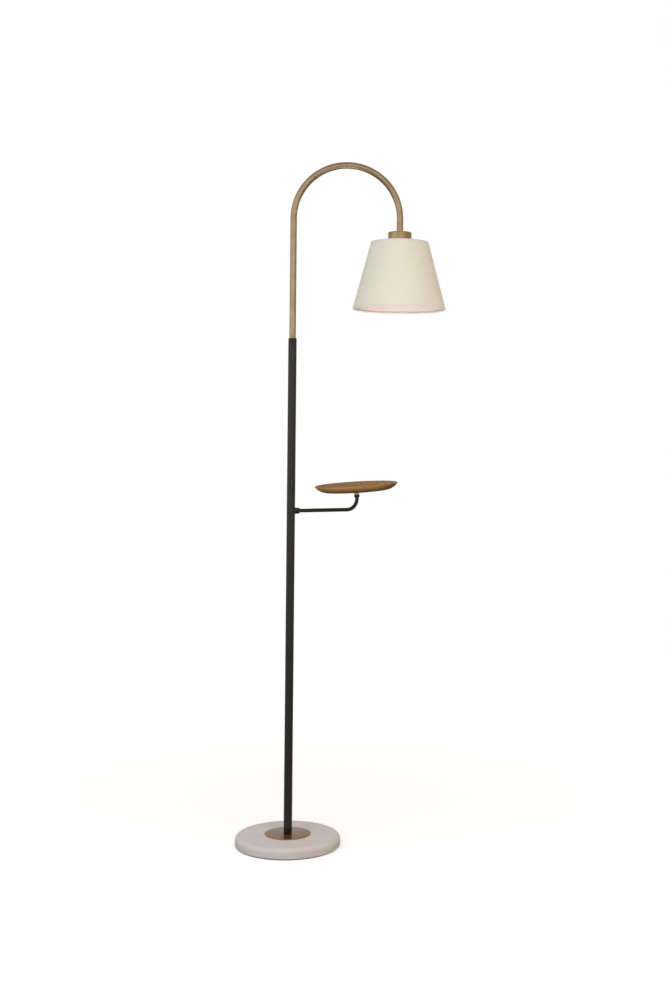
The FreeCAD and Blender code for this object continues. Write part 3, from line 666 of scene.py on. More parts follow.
def m_opal():
    t = Mat("opal_glass", Metallic=0.0)
    t.const(**{"Specular_IOR_Level": 0.5, "Subsurface_Weight": 0.35, "Subsurface_Scale": 0.006,
               "Subsurface_Radius": (1.0, 0.9, 0.75), "Coat_Weight": 0.4, "Coat_Roughness": 0.06})
    n1 = t.noise(t.obj, 30.0, 3.0)
    n2 = t.noise(t.obj, 500.0, 2.0)
    t.to(t.ramp(n1, [(0.3, (0.83, 0.82, 0.79)), (0.7, (0.88, 0.875, 0.85))]), "Base Color")
    t.to(t.range(n1, 0.3, 0.7, 0.16, 0.24), "Roughness")
    t.to(t.bump(n1, 0.03, 0.001, t.bump(n2, 0.03, 0.0001)), "Normal")
    return t.m


def m_alu(name="rolled_aluminium", lo=(0.58, 0.58, 0.59), hi=(0.74, 0.74, 0.75), rough=0.3):
    t = Mat(name, Metallic=1.0)
    n1 = t.noise(t.obj, 80.0, 4.0)
    n2 = t.noise(t.map(t.obj, (300.0, 300.0, 2500.0)), 1.0, 3.0)
    t.to(t.ramp(n1, [(0.3, lo), (0.7, hi)]), "Base Color")
    t.to(t.math("ADD", t.range(n1, 0.3, 0.7, rough - 0.04, rough + 0.06), t.math("MULTIPLY", n2, 0.08)), "Roughness")
    t.to(t.bump(n2, 0.08, 0.0001), "Normal")
    return t.m


STONE = m_stone()
BRASS_TUBE = m_brass("antique_brass_tube", along_run)
BRASS_CUP = m_brass("antique_brass_cup", turned(SX, 0.0), light=(0.450, 0.320, 0.176), dark=(0.365, 0.252, 0.134),
                    rough=(0.38, 0.46), across=1800.0, lo=14.0)
BRASS_DISC = m_brass("antique_brass_disc", turned(0.0, 0.0), metal=0.77, light=(0.392, 0.240, 0.118), dark=(0.323, 0.196, 0.095),
                     rough=(0.16, 0.23), across=1800.0, lo=10.0)
BRASS_PLAIN = m_brass("turned_brass", turned(SX, 0.0), light=(0.78, 0.58, 0.29), dark=(0.62, 0.44, 0.20),
                      rough=(0.22, 0.32), across=2200.0, lo=12.0)
BRASS_SPACER = m_brass("turned_brass_spacer", turned(168.2, 105.1), light=(0.70, 0.55, 0.35), dark=(0.58, 0.45, 0.28),
                       rough=(0.24, 0.34), across=2200.0, lo=12.0)
BLACK = m_black()
# a lighter copy of the pole's powder coat for the arm, its boss and collar: painted light
BLACK_ARM_PAINTED_LIGHTER = m_black("black_powder_coat_arm_painted_lighter", 1.7)
WOOD = m_wood()
LINEN = m_fabric()
# the hem is the same linen tinted lighter and bluer, painted light, with painted shade along its lowest edge
HEM_LINEN_PAINTED_LIGHTER = m_fabric("hem_linen", tint=(1.06, 1.075, 1.16), depth=0.4, sss=0.0, painted_underside_shade=0.55)
LINING = m_lining()
FELT = m_felt()
ZINC = m_zinc()
BLACK_PLASTIC = m_plastic("black_nylon", (0.018, 0.018, 0.019), (0.032, 0.032, 0.033), 0.55)
WHITE_NYLON = m_plastic("white_nylon", (0.66, 0.655, 0.63), (0.76, 0.755, 0.73), 0.5)
PHENOLIC = m_plastic("black_phenolic", (0.010, 0.010, 0.010), (0.019, 0.018, 0.018), 0.24, 0.55, 500.0, 0.05)
LEAD = m_plastic("lead_sheath", (0.014, 0.014, 0.015), (0.026, 0.026, 0.027), 0.5, 0.4, 700.0, 0.1)
WIRE = m_white_wire()
PORCELAIN = m_porcelain()
OPAL = m_opal()
ALU = m_alu()
SOLDER = m_alu("tinned_contact", (0.40, 0.40, 0.41), (0.56, 0.56, 0.56), 0.42)
BULB_BLACK = m_plastic("black_glass_insulator", (0.006, 0.006, 0.008), (0.014, 0.014, 0.018), 0.14, 0.6, 400.0, 0.04)

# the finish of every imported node, by its slot; visible ones are replaced below
BY_SLOT = {
    "stone": STONE, "felt": FELT, "brass_satin": BRASS_DISC, "brass_plain": BRASS_PLAIN, "black_paint": BLACK,
    "zinc_steel": ZINC, "black_plastic": BLACK_PLASTIC, "white_nylon": WHITE_NYLON, "holder_black": PHENOLIC,
    "porcelain": PORCELAIN, "white_wire": WIRE, "shade_fabric": LINEN, "hem_tape": HEM_LINEN_PAINTED_LIGHTER, "tray_wood": WOOD,
    "opal_glass": OPAL, "bulb_aluminium": ALU, "bulb_black": BULB_BLACK, "solder": SOLDER, "lead_pvc": LEAD,
}
for sub in frame["record"]["subparts"]:
    ob = NODES.get(sub["node"])
    if ob is None:
        continue
    if not ob.data.materials:
        ob.data.materials.append(None)
    for i in range(len(ob.data.materials)):
        ob.data.materials[i] = BY_SLOT[sub["material_slot"]]

# ---------------------------------------------------------------------------
# Base
# ---------------------------------------------------------------------------
stone_prof = [(5.6, BASE_TOP), (5.6, 21.0), (32.0, 21.0), (32.0, 1.5)]
stone_prof += line((32.0, 1.5), (BASE_R - 4.0, 1.5), 6)
stone_prof += arc(BASE_R - 4.0, 5.5, 4.0, -90, 0, 8)
stone_prof += line((BASE_R, 5.5), (BASE_R, BASE_TOP - EDGE_R), 5)
stone_prof += arc(BASE_R - EDGE_R, BASE_TOP - EDGE_R, EDGE_R, 0, 90, 18)
stone_prof += line((BASE_R - EDGE_R, BASE_TOP), (62.0, BASE_TOP), 8) + [(62.0, BASE_TOP), (40.0, BASE_TOP), (20.0, BASE_TOP)]


def stone_wave(r, z, a):
    """hand-finished edge: a twentieth of a millimetre or so of unevenness"""
    if r < 100.0 or z < 2.0:
        return r, z
    p = Vector((math.cos(a) * 3.0, math.sin(a) * 3.0, z * 0.05))
    k = noise.noise(p) * 0.10
    return r - abs(k) * (1.0 if z < 29.9 else 0.0), z - (0.04 * abs(noise.noise(p * 2.0)) if z > 27.0 else 0.0)


b = Build()
b.lathe(stone_prof, n=288, rfun=stone_wave)
stone = b.make("stone_base", [STONE], "stand", ["marble_base"], sharp=50.0)

# lead channel, cut from the pocket to the rear edge
cutter_me = bpy.data.meshes.new("channel_cutter")
prof = [(-4.5, 0.5), (4.5, 0.5), (4.5, 6.0)] + [(4.5 * math.cos(math.radians(a)), 6.0 + 4.5 * math.sin(math.radians(a)))
                                              for a in range(15, 180, 15)] + [(-4.5, 6.0)]
k = len(prof)
cv = [(x * MM, 0.0295, z * MM) for x, z in prof] + [(x * MM, 0.150, z * MM) for x, z in prof]
cf = [list(range(k))[::-1], list(range(k, 2 * k))] + [[i, (i + 1) % k, (i + 1) % k + k, i + k] for i in range(k)]
cutter_me.from_pydata(cv, [], cf)
bmc = bmesh.new()
bmc.from_mesh(cutter_me)
bmesh.ops.recalc_face_normals(bmc, faces=bmc.faces)
bmc.to_mesh(cutter_me)
bmc.free()
cutter = bpy.data.objects.new("channel_cutter", cutter_me)
scene.collection.objects.link(cutter)
mod = stone.modifiers.new("channel", "BOOLEAN")
mod.operation = "DIFFERENCE"
mod.solver = "EXACT"
mod.object = cutter
dg = bpy.context.evaluated_depsgraph_get()
cut = bpy.data.meshes.new_from_object(stone.evaluated_get(dg))
stone.modifiers.clear()
old = stone.data
stone.data = cut
cut.name = "stone_base"
bpy.data.meshes.remove(old)
while len(cut.materials) > 1:
    cut.materials.pop()
cut.polygons.foreach_set("material_index", [0] * len(cut.polygons))
cut.polygons.foreach_set("use_smooth", [True] * len(cut.polygons))
cut.set_sharp_from_angle(angle=math.radians(50.0))
bpy.data.objects.remove(cutter)
bpy.data.meshes.remove(cutter_me)

b = Build()
b.lathe(rounded([(0.0, 0.0), (134.0, 0.0), (134.0, 1.5), (0.0, 1.5)], [0, 0.5, 0.3, 0], k=3, loop=False), n=256, loop=False)
b.make("felt_disc", [FELT], "stand", ["base_felt"], sharp=60.0)

disc_prof = rounded([(5.2, 30.0), (60.0, 30.0), (60.0, 32.0), (5.2, 32.0)], [0, 0.25, 0.7, 0], k=5)
b = Build()
b.lathe(disc_prof, n=256)
b.make("brass_disc", [BRASS_DISC], "stand", ["base_disc"], sharp=50.0)

# inlet bush with a rounded mouth
b = Build()
gp = rounded([(3.1, 124.0), (4.4, 124.0), (4.4, BASE_R + 0.2), (5.4, BASE_R + 0.2), (5.4, BASE_R + 2.0), (3.1, BASE_R + 2.0)],
             [0.2, 0.3, 0, 0.3, 0.8, 0.5], k=4)
b.lathe(gp, n=64, xf=lambda p: (p[0], p[2], 6.0 + p[1]))
b.make("inlet_bush", [BLACK_PLASTIC], "stand", ["cable_gland"], sharp=50.0)

# ---------------------------------------------------------------------------
# Pole, its top bush
# ---------------------------------------------------------------------------
rows = [(POLE_R, 32.4 + (1328.8 - 32.4) * i / 60.0) for i in range(61)]
pole_prof = [(POLE_IN, 32.0), (POLE_R - 0.4, 32.0)] + rows + [(POLE_R - 0.2, 1329.0), (POLE_IN, 1329.0)]
b = Build()
b.lathe(pole_prof, n=96)
b.make("pole_tube", [BLACK], "stand", ["pole"], sharp=50.0)

bush_prof = [(3.6, 1274.0), (BUSH_R, 1274.0), (BUSH_R, 1329.0), (POLE_R - 0.2, 1329.0), (POLE_R, 1329.2), (POLE_R, 1331.0)]
bush_prof += arc(POLE_R - 2.0, 1333.0, 2.0, 0, 90, 8) + [(BUSH_BORE, 1335.0), (BUSH_BORE, 1302.2), (BUSH_BORE, 1297.8)]
bush_prof += [(BUSH_BORE, 1279.0), (3.6, 1279.0)]
b = Build()
b.lathe(bush_prof, n=128)
b.make("pole_top_bush", [BLACK], "stand", ["pole_top_bushing"], sharp=40.0)

# ---------------------------------------------------------------------------
# Table arm
# ---------------------------------------------------------------------------
ns, nz = -math.sin(TILT), math.cos(TILT)
foot_s, foot_z = TRAY_S - TRAY_H * ns, TRAY_Z - TRAY_H * nz


def on_axis(d):
    return foot_s - d * ns, foot_z - d * nz


def along(s, z):
    return Vector((s * CA, s * SA, z))


zc = ARM_Z + 30.0
end_z = zc + 30.0 * math.sin(TILT)
d_end = (foot_z - end_z) / nz
end_s = on_axis(d_end)[0]
s_bend = end_s - 30.0 * math.cos(TILT)
side = Vector((-SA, CA, 0.0))


def arm_station(s, z, ts, tz, r):
    # circle square to the direction (ts, tz) in the arm's plane
    other = along(-tz, 0.0) + Vector((0.0, 0.0, ts))
    return (along(s, z), side, other, r)


st = [arm_station(5.4, ARM_Z, 1, 0, 0.0), arm_station(5.4, ARM_Z, 1, 0, 3.6), arm_station(5.8, ARM_Z, 1, 0, 3.95),
      arm_station(11.6, ARM_Z, 1, 0, 3.95), arm_station(11.6, ARM_Z, 1, 0, ARM_R)]
for i in range(1, 25):
    st.append(arm_station(11.6 + (s_bend - 11.6) * i / 24.0, ARM_Z, 1, 0, ARM_R))
sweep_a = 90.0 + math.degrees(TILT)
for i in range(1, 33):
    a = math.radians(-90.0 + sweep_a * i / 32.0)
    st.append(arm_station(s_bend + 30.0 * math.cos(a), zc + 30.0 * math.sin(a), -math.sin(a), math.cos(a), ARM_R))
top_s, top_z = on_axis(11.0)
for i in range(1, 5):
    f = i / 4.0
    st.append(arm_station(end_s + (top_s - end_s) * f, end_z + (top_z - end_z) * f, ns, nz, ARM_R))
st.append(arm_station(top_s, top_z, ns, nz, 3.0))
s2, z2 = on_axis(-4.2)
st.append(arm_station(s2, z2, ns, nz, 3.0))
s3, z3 = on_axis(-4.5)
st.append(arm_station(s3, z3, ns, nz, 2.6))
st.append(arm_station(s3, z3, ns, nz, 0.0))
b = Build()
b.sweep(st, n=64)
b.make("table_arm_rod", [BLACK_ARM_PAINTED_LIGHTER], "stand", ["tray_arm"], sharp=40.0)

# boss: tapered, its inner end shaped to the pole
n = 128
rings = []
for r in (ARM_R + 0.05, 8.72):
    ring = []
    for j in range(n):
        a = TAU * j / n
        off = r * math.cos(a)
        s = math.sqrt(POLE_R ** 2 - off ** 2) + 0.02
        ring.append(along(s, ARM_Z + r * math.sin(a)) + side * off)
    rings.append(ring)
body_r = lambda s: 8.8 - 1.2 * (s - 9.0) / 15.0
ends = [(23.25, body_r(23.25) - 0.06), (23.75, body_r(23.75) - 0.30), (24.0, 7.0), (24.0, ARM_R + 0.35), (23.7, ARM_R + 0.05)]
for s, r in [(13.0, body_r(13.0)), (16.0, body_r(16.0)), (19.5, body_r(19.5)), (22.5, body_r(22.5))] + ends:
    rings.append([along(s, ARM_Z + r * math.sin(TAU * j / n)) + side * (r * math.cos(TAU * j / n)) for j in range(n)])
b = Build()
b.loft(rings, loop=True, uvfun=lambda i, j, nn: (j / nn * 0.044, i * 0.002))
b.make("arm_root_boss", [BLACK_ARM_PAINTED_LIGHTER], "stand", ["arm_boss"], sharp=40.0)

tray_rot = Matrix.Rotation(ARM_AZ, 3, "Z") @ Matrix.Rotation(-TILT, 3, "Y")
tray_at = along(TRAY_S, TRAY_Z)


def tray_xf(p):
    return tuple(tray_rot @ Vector(p) + tray_at)


U = -TRAY_H                                   # the tray's underside in its own frame
cp = rounded([(ARM_R + 0.02, U - 18.0), (6.9, U - 18.0), (7.5, U - 11.4), (7.5, U - 11.0), (ARM_R + 0.02, U - 11.0)],
             [0.2, 0.35, 0.4, 0.25, 0], k=4)
b = Build()
b.lathe(cp, n=96, xf=tray_xf)
b.make("stem_flare_collar", [BLACK_ARM_PAINTED_LIGHTER], "stand", ["stem_collar"], sharp=40.0)

# ---------------------------------------------------------------------------
# Tray
# ---------------------------------------------------------------------------
wp = rounded([(3.1, U - 11.0), (7.2, U - 11.0), (7.2, U - 10.0), (3.1, U - 10.0)], [0.1, 0.3, 0.3, 0.1], k=3)
b = Build()
b.lathe(wp, n=96, xf=tray_xf)
b.make("stem_washer", [WHITE_NYLON], "table", ["tray_washer"], sharp=45.0)

# spacer with two turned grooves
sp = [(3.05, U - 10.0), (6.6, U - 10.0), (6.9, U - 9.7), (6.9, U - 7.4), (6.62, U - 7.1), (6.62, U - 6.7), (6.9, U - 6.4),
      (6.9, U - 3.6), (6.62, U - 3.3), (6.62, U - 2.9), (6.9, U - 2.6), (6.9, U - 0.3), (6.6, U), (3.05, U)]
b = Build()
b.lathe(sp, n=96, xf=tray_xf)
b.make("stem_spacer", [BRASS_SPACER], "table", ["tray_spacer"], sharp=30.0)

outer = []
for i in range(49):
    t = math.radians(90.0 * i / 48.0)
    outer.append((TRAY_FOOT + (TRAY_R - TRAY_FOOT) * math.sin(t) ** TRAY_N,
                  -TRAY_H + TRAY_H * (1 - math.cos(t) ** TRAY_N)))
outer = [p for p in outer if p[1] < -2.0]
rim = arc(TRAY_R - 1.6, -1.6, 1.6, -8, 188, 14)


def spline(points, k):
    """Catmull-Rom through the points"""
    out = []
    ext = [points[0]] + points + [points[-1]]
    for i in range(1, len(ext) - 2):
        p0, p1, p2, p3 = (Vector(q) for q in ext[i - 1:i + 3])
        for s in range(k):
            u = s / k
            out.append(tuple(0.5 * ((2 * p1) + (p2 - p0) * u + (2 * p0 - 5 * p1 + 4 * p2 - p3) * u * u
                                    + (3 * p1 - p0 - 3 * p2 + p3) * u ** 3)))
    out.append(points[-1])
    return out


in_r = TRAY_R - 3.2
floor_z = -TRAY_H + 7.2
inner = spline([(in_r - 0.05, -2.0), (in_r - 1.6, -3.6), (in_r - 4.6, -6.4), (in_r - 9.4, -8.7), (in_r - 16.0, -10.2),
                (in_r - 23.0, floor_z)], 6)
tray_prof = [(5.5, U), (20.0, U), (45.0, U), (70.0, U), (82.0, U)] + outer + rim + inner
tray_prof += [(70.0, floor_z), (50.0, floor_z), (30.0, floor_z), (12.0, floor_z), (0.0, floor_z)]
# the blind hole for the insert
full = [(0.0, U + 5.0), (5.5, U + 5.0)] + tray_prof


def turned_wave(r, z, a):
    """a hand-turned dish isn't quite round, and its floor has shallow tool rings"""
    if r < 6.0:
        return r, z
    k = noise.noise(Vector((math.cos(a) * 1.5, math.sin(a) * 1.5, 3.0))) * 0.10
    dz = 0.0
    if abs(z - floor_z) < 0.01 and r > 8.0:
        dz = -0.05 + 0.05 * math.sin(r * 1.1)
    return r - abs(k), z + dz


b = Build()
b.lathe(full, n=256, loop=False, xf=tray_xf, rfun=turned_wave)
b.make("turned_tray", [WOOD], "table", ["tray"], sharp=55.0)

# ---------------------------------------------------------------------------
# Gooseneck
# ---------------------------------------------------------------------------
Y = Vector((0.0, 1.0, 0.0))


def neck_path(z0, z1, bend=120):
    out = []
    k0 = 40
    for i in range(k0 + 1):
        out.append((Vector((0, 0, z0 + (ARCH_Z - z0) * i / k0)), Vector((1, 0, 0))))
    for i in range(1, bend + 1):
        a = math.pi - math.pi * i / bend
        radial = Vector((math.cos(a), 0.0, math.sin(a)))
        out.append((Vector((ARCH_R, 0, ARCH_Z)) + radial * ARCH_R, -radial))
    for i in range(1, 7):
        out.append((Vector((SX, 0, ARCH_Z + (z1 - ARCH_Z) * i / 6.0)), Vector((-1, 0, 0))))
    return out


path = neck_path(1280.5, 1616.0)
st = [(c, e, Y, NECK_R) for c, e in path] + [(c, e, Y, NECK_IN) for c, e in reversed(path)]
b = Build()
b.sweep(st, n=72, loop=True)
b.make("gooseneck_tube", [BRASS_TUBE], "lamp_arm", ["gooseneck"], sharp=50.0)

# ---------------------------------------------------------------------------
# Cup and lamp holder
# ---------------------------------------------------------------------------
cup_prof = rounded([(5.1, CUP_TOP), (CUP_R, CUP_TOP), (CUP_R, CUP_LOW), (CUP_R - 1.2, CUP_LOW), (CUP_R - 1.2, CUP_TOP - 1.5),
                    (5.1, CUP_TOP - 1.5)], [0, 2.0, 0.4, 0.4, 1.2, 0], k=7)
b = Build()
b.lathe(cup_prof, n=192, cx=SX)
b.make("spun_cup", [BRASS_CUP], "lamp_arm", ["holder_cup"], sharp=45.0)

# holder body with the outside thread that the shade ring runs on
R, P = 19.75, 2.5
prof = [(17.5, 1577.0), (23.2, 1577.0), (23.5, 1576.7), (23.5, 1573.3), (23.2, 1573.0), (R, 1573.0)]
k = 96
prof += [(R, 1572.0 - (1572.0 - 1546.4) * i / k) for i in range(k + 1)]
prof += [(R - 0.5, 1545.3), (R - 1.2, 1545.0), (15.5, 1545.0), (15.2, 1545.3), (15.2, 1548.0), (17.5, 1549.5)]


def outer_thread(r, z, a):
    if abs(r - R) < 1e-6 and 1546.4 <= z <= 1572.0:
        fade = min(1.0, (z - 1546.4) / 2.0, (1572.0 - z) / 2.0)
        return r - 0.75 * fade * (0.5 + 0.5 * math.cos(TAU * (z / P) - a)), z
    return r, z


b = Build()
b.lathe(prof, n=96, cx=SX, rfun=outer_thread)
b.make("holder_threaded_body", [PHENOLIC], "lamp_arm", ["holder_body"], sharp=50.0)

# rolled brass screw shell
k = 84
sh = [(14.2, 1578.0)] + [(14.2, 1577.5 - 27.0 * i / k) for i in range(k + 1)] + [(14.2, 1550.0), (13.9, 1550.0)]
sh += [(13.9, 1550.5 + 27.0 * i / k) for i in range(k + 1)] + [(13.9, 1578.0)]


def shell_thread(r, z, a):
    fade = max(0.0, min(1.0, (z - 1550.5) / 2.0, (1577.5 - z) / 2.0))
    wave = 0.5 + 0.5 * math.cos(TAU * z / 3.62 - a)
    return (r + 0.35 * fade * wave if r < 14.0 else r + 0.35 * fade * wave), z


b = Build()
b.lathe(sh, n=72, cx=SX, rfun=shell_thread)
b.make("screw_shell", [BRASS_PLAIN], "lamp_arm", ["holder_screw_shell"], sharp=60.0)

# shade ring with moulded grips
zt = 1571.0
rn = rounded([(19.8, zt), (27.5, zt), (27.5, zt - 2.5), (23.6, zt - 3.5), (23.6, zt - 12.0), (19.8, zt - 12.0)],
             [0.3, 0.5, 0.6, 0.8, 0.8, 0.4], k=4)
ext = []
for p, q in zip(rn, rn[1:] + rn[:1]):
    ext.append(p)
    if math.hypot(q[0] - p[0], q[1] - p[1]) > 3.0:
        ext += line(p, q, 4)


def grips(r, z, a):
    if r > 23.0 and z < zt - 3.6:
        f = min(1.0, (zt - 3.6 - z) / 1.0)
        c = (a / TAU * 24.0) % 1.0
        c = min(c, 1.0 - c)
        if c < 0.17:
            return r - 0.9 * f * math.cos(c / 0.17 * math.pi / 2.0), z
    return r, z


b = Build()
b.lathe(ext, n=480, cx=SX, rfun=grips)
b.make("shade_ring", [PHENOLIC], "lamp_arm", ["shade_ring_nut"], sharp=40.0)

# ---------------------------------------------------------------------------
# Shade
# ---------------------------------------------------------------------------
slope = (SH_R1 - SH_R0) / (SH_Z1 - SH_Z0)
hyp = math.hypot(1.0, slope)
apex_z = SH_Z0 - SH_R0 / slope                 # height of the cone's point
sin_a = abs(slope) / hyp
SEAM = math.radians(118.0)                     # lap seam, at the back


def r_out(z):
    return SH_R0 + (z - SH_Z0) * slope


def flat_uv(r, z, a):
    """where a point of the cone lies on the cloth before it was rolled up"""
    rho = (apex_z - z) * hyp
    d = (a - SEAM) % TAU - math.pi
    phi = d * sin_a
    return (rho * math.sin(phi) * MM, rho * math.cos(phi) * MM)


N_SH = 360
rows = 44
z_lo, z_hi = SH_Z0 + 0.5, SH_Z1 - 0.5
zs = [z_lo + (z_hi - z_lo) * i / rows for i in range(rows + 1)]
prof = [(r_out(z), z) for z in zs] + [(r_out(z) - hyp, z) for z in reversed(zs)]


def skin_wave(r, z, a):
    """the lap of the cloth, and a little unevenness of a hand-made shade"""
    inner = r < r_out(z) - 0.5
    d = ((a - SEAM + math.pi) % TAU - math.pi) * r
    lap = 0.0
    if not inner and -9.0 < d < 3.0:
        lap = 0.38 * min(1.0, (d + 9.0) / 0.9, (3.0 - d) / 5.0)
    mid = math.sin(math.pi * (z - z_lo) / (z_hi - z_lo))
    wob = noise.noise(Vector((math.cos(a) * 1.3, math.sin(a) * 1.3, z * 0.012))) * 0.35 * mid
    return r + wob + lap, z


ring_z = [p[1] for p in prof]
b = Build()
count = len(prof)


def skin_uv(i, j, nn):
    r, z = prof[i % count]
    return flat_uv(r, z, TAU * j / nn if j < nn else TAU * 0.999999)


b.lathe(prof, n=N_SH, cx=SX, rfun=skin_wave, uvfun=skin_uv, mat=lambda i, j: 0 if i < rows else 1)
skin = b.make("linen_shade", [LINEN, LINING], "lamp_arm", ["shade_skin"], sharp=45.0)

# hems: the cloth is turned over each wire and glued down inside
RW = 1.25


def hem(name, node, z_edge, z_skin, sign, wire_r, wire_z):
    """sign +1 for the lower edge (hem goes up inside), -1 for the upper edge"""
    ro = r_out(z_skin)
    in0 = wire_r - RW - 0.1
    t = 0.35
    top = r_out(z_edge + sign * 5.7) - hyp - 0.08        # above the wire the cloth lies back on the lining
    pts = [(ro, z_skin), (r_out(z_edge) - 0.05, z_edge), (in0 - t, z_edge), (in0 - t, z_edge + sign * 2.6),
           (top - t, z_edge + sign * 5.7), (top, z_edge + sign * 5.7), (in0, z_edge + sign * 2.6), (in0, z_skin)]
    prof = rounded(pts, [0.0, 0.45, 0.9, 1.2, 0.14, 0.08, 0.8, 0.0], k=4)
    long = []
    for p, q in zip(prof, prof[1:] + prof[:1]):
        long.append(p)
        if math.hypot(q[0] - p[0], q[1] - p[1]) > 2.0:
            long += line(p, q, 4)

    def uneven(r, z, a):
        # the turned-in edge wanders a little, and puckers slightly where it is notched round the curve
        f = abs(z - z_edge) / 5.7
        inside = r < in0 + 0.01 or f > 0.35
        dz = noise.noise(Vector((math.cos(a) * 6.0, math.sin(a) * 6.0, z_edge * 0.01))) * 0.5 * f if inside else 0.0
        pk = 0.10 * f * max(0.0, math.sin(a * 46.0 + 1.3 * math.sin(a * 7.0))) if inside else 0.0
        return r - pk, z + sign * dz

    hb = Build()
    hb.lathe(long, n=N_SH, cx=SX, rfun=uneven, uvr=wire_r)
    return hb.make(name, [HEM_LINEN_PAINTED_LIGHTER], "lamp_arm", [node], sharp=50.0)


zr1 = z_hi - 0.1 - RW
rr1 = r_out(zr1) - hyp - (RW + 0.05) * hyp
zr0 = z_lo + 0.1 + RW
rr0 = r_out(zr0) - hyp - (RW + 0.05) * hyp
low_hem = hem("lower_hem", "shade_bottom_trim", SH_Z0, z_lo, 1.0, rr0, zr0)
top_hem = hem("upper_hem", "shade_top_trim", SH_Z1, z_hi, -1.0, rr1, zr1)


def circle_prof(rc, zc_, r, k=14):
    return [(rc + r * math.cos(TAU * i / k), zc_ + r * math.sin(TAU * i / k)) for i in range(k)]


b = Build()
b.lathe(circle_prof(rr0, zr0, RW), n=240, cx=SX)
b.make("lower_wire", [WIRE], "lamp_arm", ["shade_bottom_ring"])

b = Build()
b.lathe(circle_prof(rr1, zr1, RW), n=240, cx=SX)
zf = 1572.0
b.lathe(rounded([(21.0, 1571.0), (28.5, 1571.0), (28.5, 1573.0), (21.0, 1573.0)], [0.4] * 4, k=3), n=160, cx=SX)
for i in range(3):
    a = math.radians(60 + 120 * i)
    d2 = Vector((math.cos(a), math.sin(a), 0.0))
    p0 = Vector((SX, 0, zf)) + d2 * 27.2
    p1 = Vector((SX, 0, zr1)) + d2 * rr1
    t = (p1 - p0).normalized()
    sd = Vector((-math.sin(a), math.cos(a), 0.0))
    ot = t.cross(sd)
    ln = (p1 - p0).length
    st = [(p0, sd, ot, 0.0)]
    for f, r in ((0.0, 0.95), (0.02, 1.02), (0.06, 0.99), (0.25, 0.99), (0.5, 0.99), (0.75, 0.99), (0.94, 0.99), (0.975, 1.15), (1.0, 1.2)):
        st.append((p0 + t * (ln * f), sd, ot, r))
    st.append((p1, sd, ot, 0.0))
    b.sweep(st, n=16)
b.make("shade_spider", [WIRE], "lamp_arm", ["shade_top_frame"], sharp=45.0)

# ---------------------------------------------------------------------------
# Bulb
# ---------------------------------------------------------------------------
zt = 1572.0
zb = zt - 108.0
gp = spline([(12.4, zt - 26.0), (13.0, zt - 32.0), (15.6, zt - 41.0), (20.6, zt - 52.0), (26.0, zt - 63.0), (29.3, zt - 73.0),
             (29.7, zt - 81.0), (27.4, zt - 90.6), (21.8, zt - 99.2), (13.6, zt - 105.0), (6.5, zt - 107.3)], 8)
b = Build()
b.lathe([(0.0, zt - 26.0)] + gp + [(2.5, zb + 0.08), (0.0, zb)], n=160, cx=SX, loop=False)
b.make("bulb_envelope", [OPAL], "bulb", ["bulb_glass"], sharp=60.0)

k = 72
cp = [(0.0, zt - 3.0), (9.0, zt - 3.0), (11.4, zt - 3.9), (12.4, zt - 5.2)]
cp += [(13.2, zt - 5.8 - (22.4 - 5.8) * i / k) for i in range(k + 1)]
cp += [(13.0, zt - 23.4), (13.0, zt - 25.6), (12.7, zt - 26.0), (0.0, zt - 26.0)]


def cap_thread(r, z, a):
    if abs(r - 13.2) < 1e-6:
        fade = max(0.0, min(1.0, (zt - 5.8 - z) / 1.5, (z - (zt - 22.4)) / 1.5))
        low = 0.5 - 0.5 * math.cos(TAU * z / 3.62 - a)
        return 12.75 - 0.45 + 0.90 * (low * fade + 0.5 * (1.0 - fade)), z
    return r, z


b = Build()
b.lathe(cp, n=96, cx=SX, loop=False, rfun=cap_thread)
b.make("bulb_screw_cap", [ALU], "bulb", ["bulb_cap"], sharp=50.0)

# ---------------------------------------------------------------------------
# Stage: plain pale floor, soft light
# ---------------------------------------------------------------------------
fm = Mat("stage_floor", Roughness=0.9, Metallic=0.0)
fm.const(**{"Specular_IOR_Level": 0.0})
fm.const(Base_Color=(0.88, 0.88, 0.88, 1.0), Emission_Color=(0.985, 0.990, 1.0, 1.0))
# the floor stays white as far as it goes
fm.to(fm.range(fm.math("SQRT", fm.vmath("DOT_PRODUCT", fm.obj, fm.obj)), 0.30, 1.90, 0.42, 0.62), "Emission Strength")
me = bpy.data.meshes.new("stage_floor")
seg, R = 128, 3.0
fv = [(0.0, 0.0, 0.0)] + [(R * math.cos(TAU * i / seg), R * math.sin(TAU * i / seg), 0.0) for i in range(seg)]
me.from_pydata(fv, [], [[0, i + 1, (i + 1) % seg + 1] for i in range(seg)])
me.materials.append(fm.m)
floor = bpy.data.objects.new("stage_floor", me)
scene.collection.objects.link(floor)
floor.visible_diffuse = False
floor.visible_glossy = False

world = bpy.data.worlds.new("studio")
scene.world = world
world.use_nodes = True
wn = world.node_tree
wn.nodes.clear()


def wmath(op, a, b=None, clamp=False):
    nd = wn.nodes.new("ShaderNodeMath")
    nd.operation = op
    nd.use_clamp = clamp
    for s, v in zip(nd.inputs, (a, b)):
        if isinstance(v, bpy.types.NodeSocket):
            wn.links.new(v, s)
        elif v is not None:
            s.default_value = v
    return nd.outputs[0]


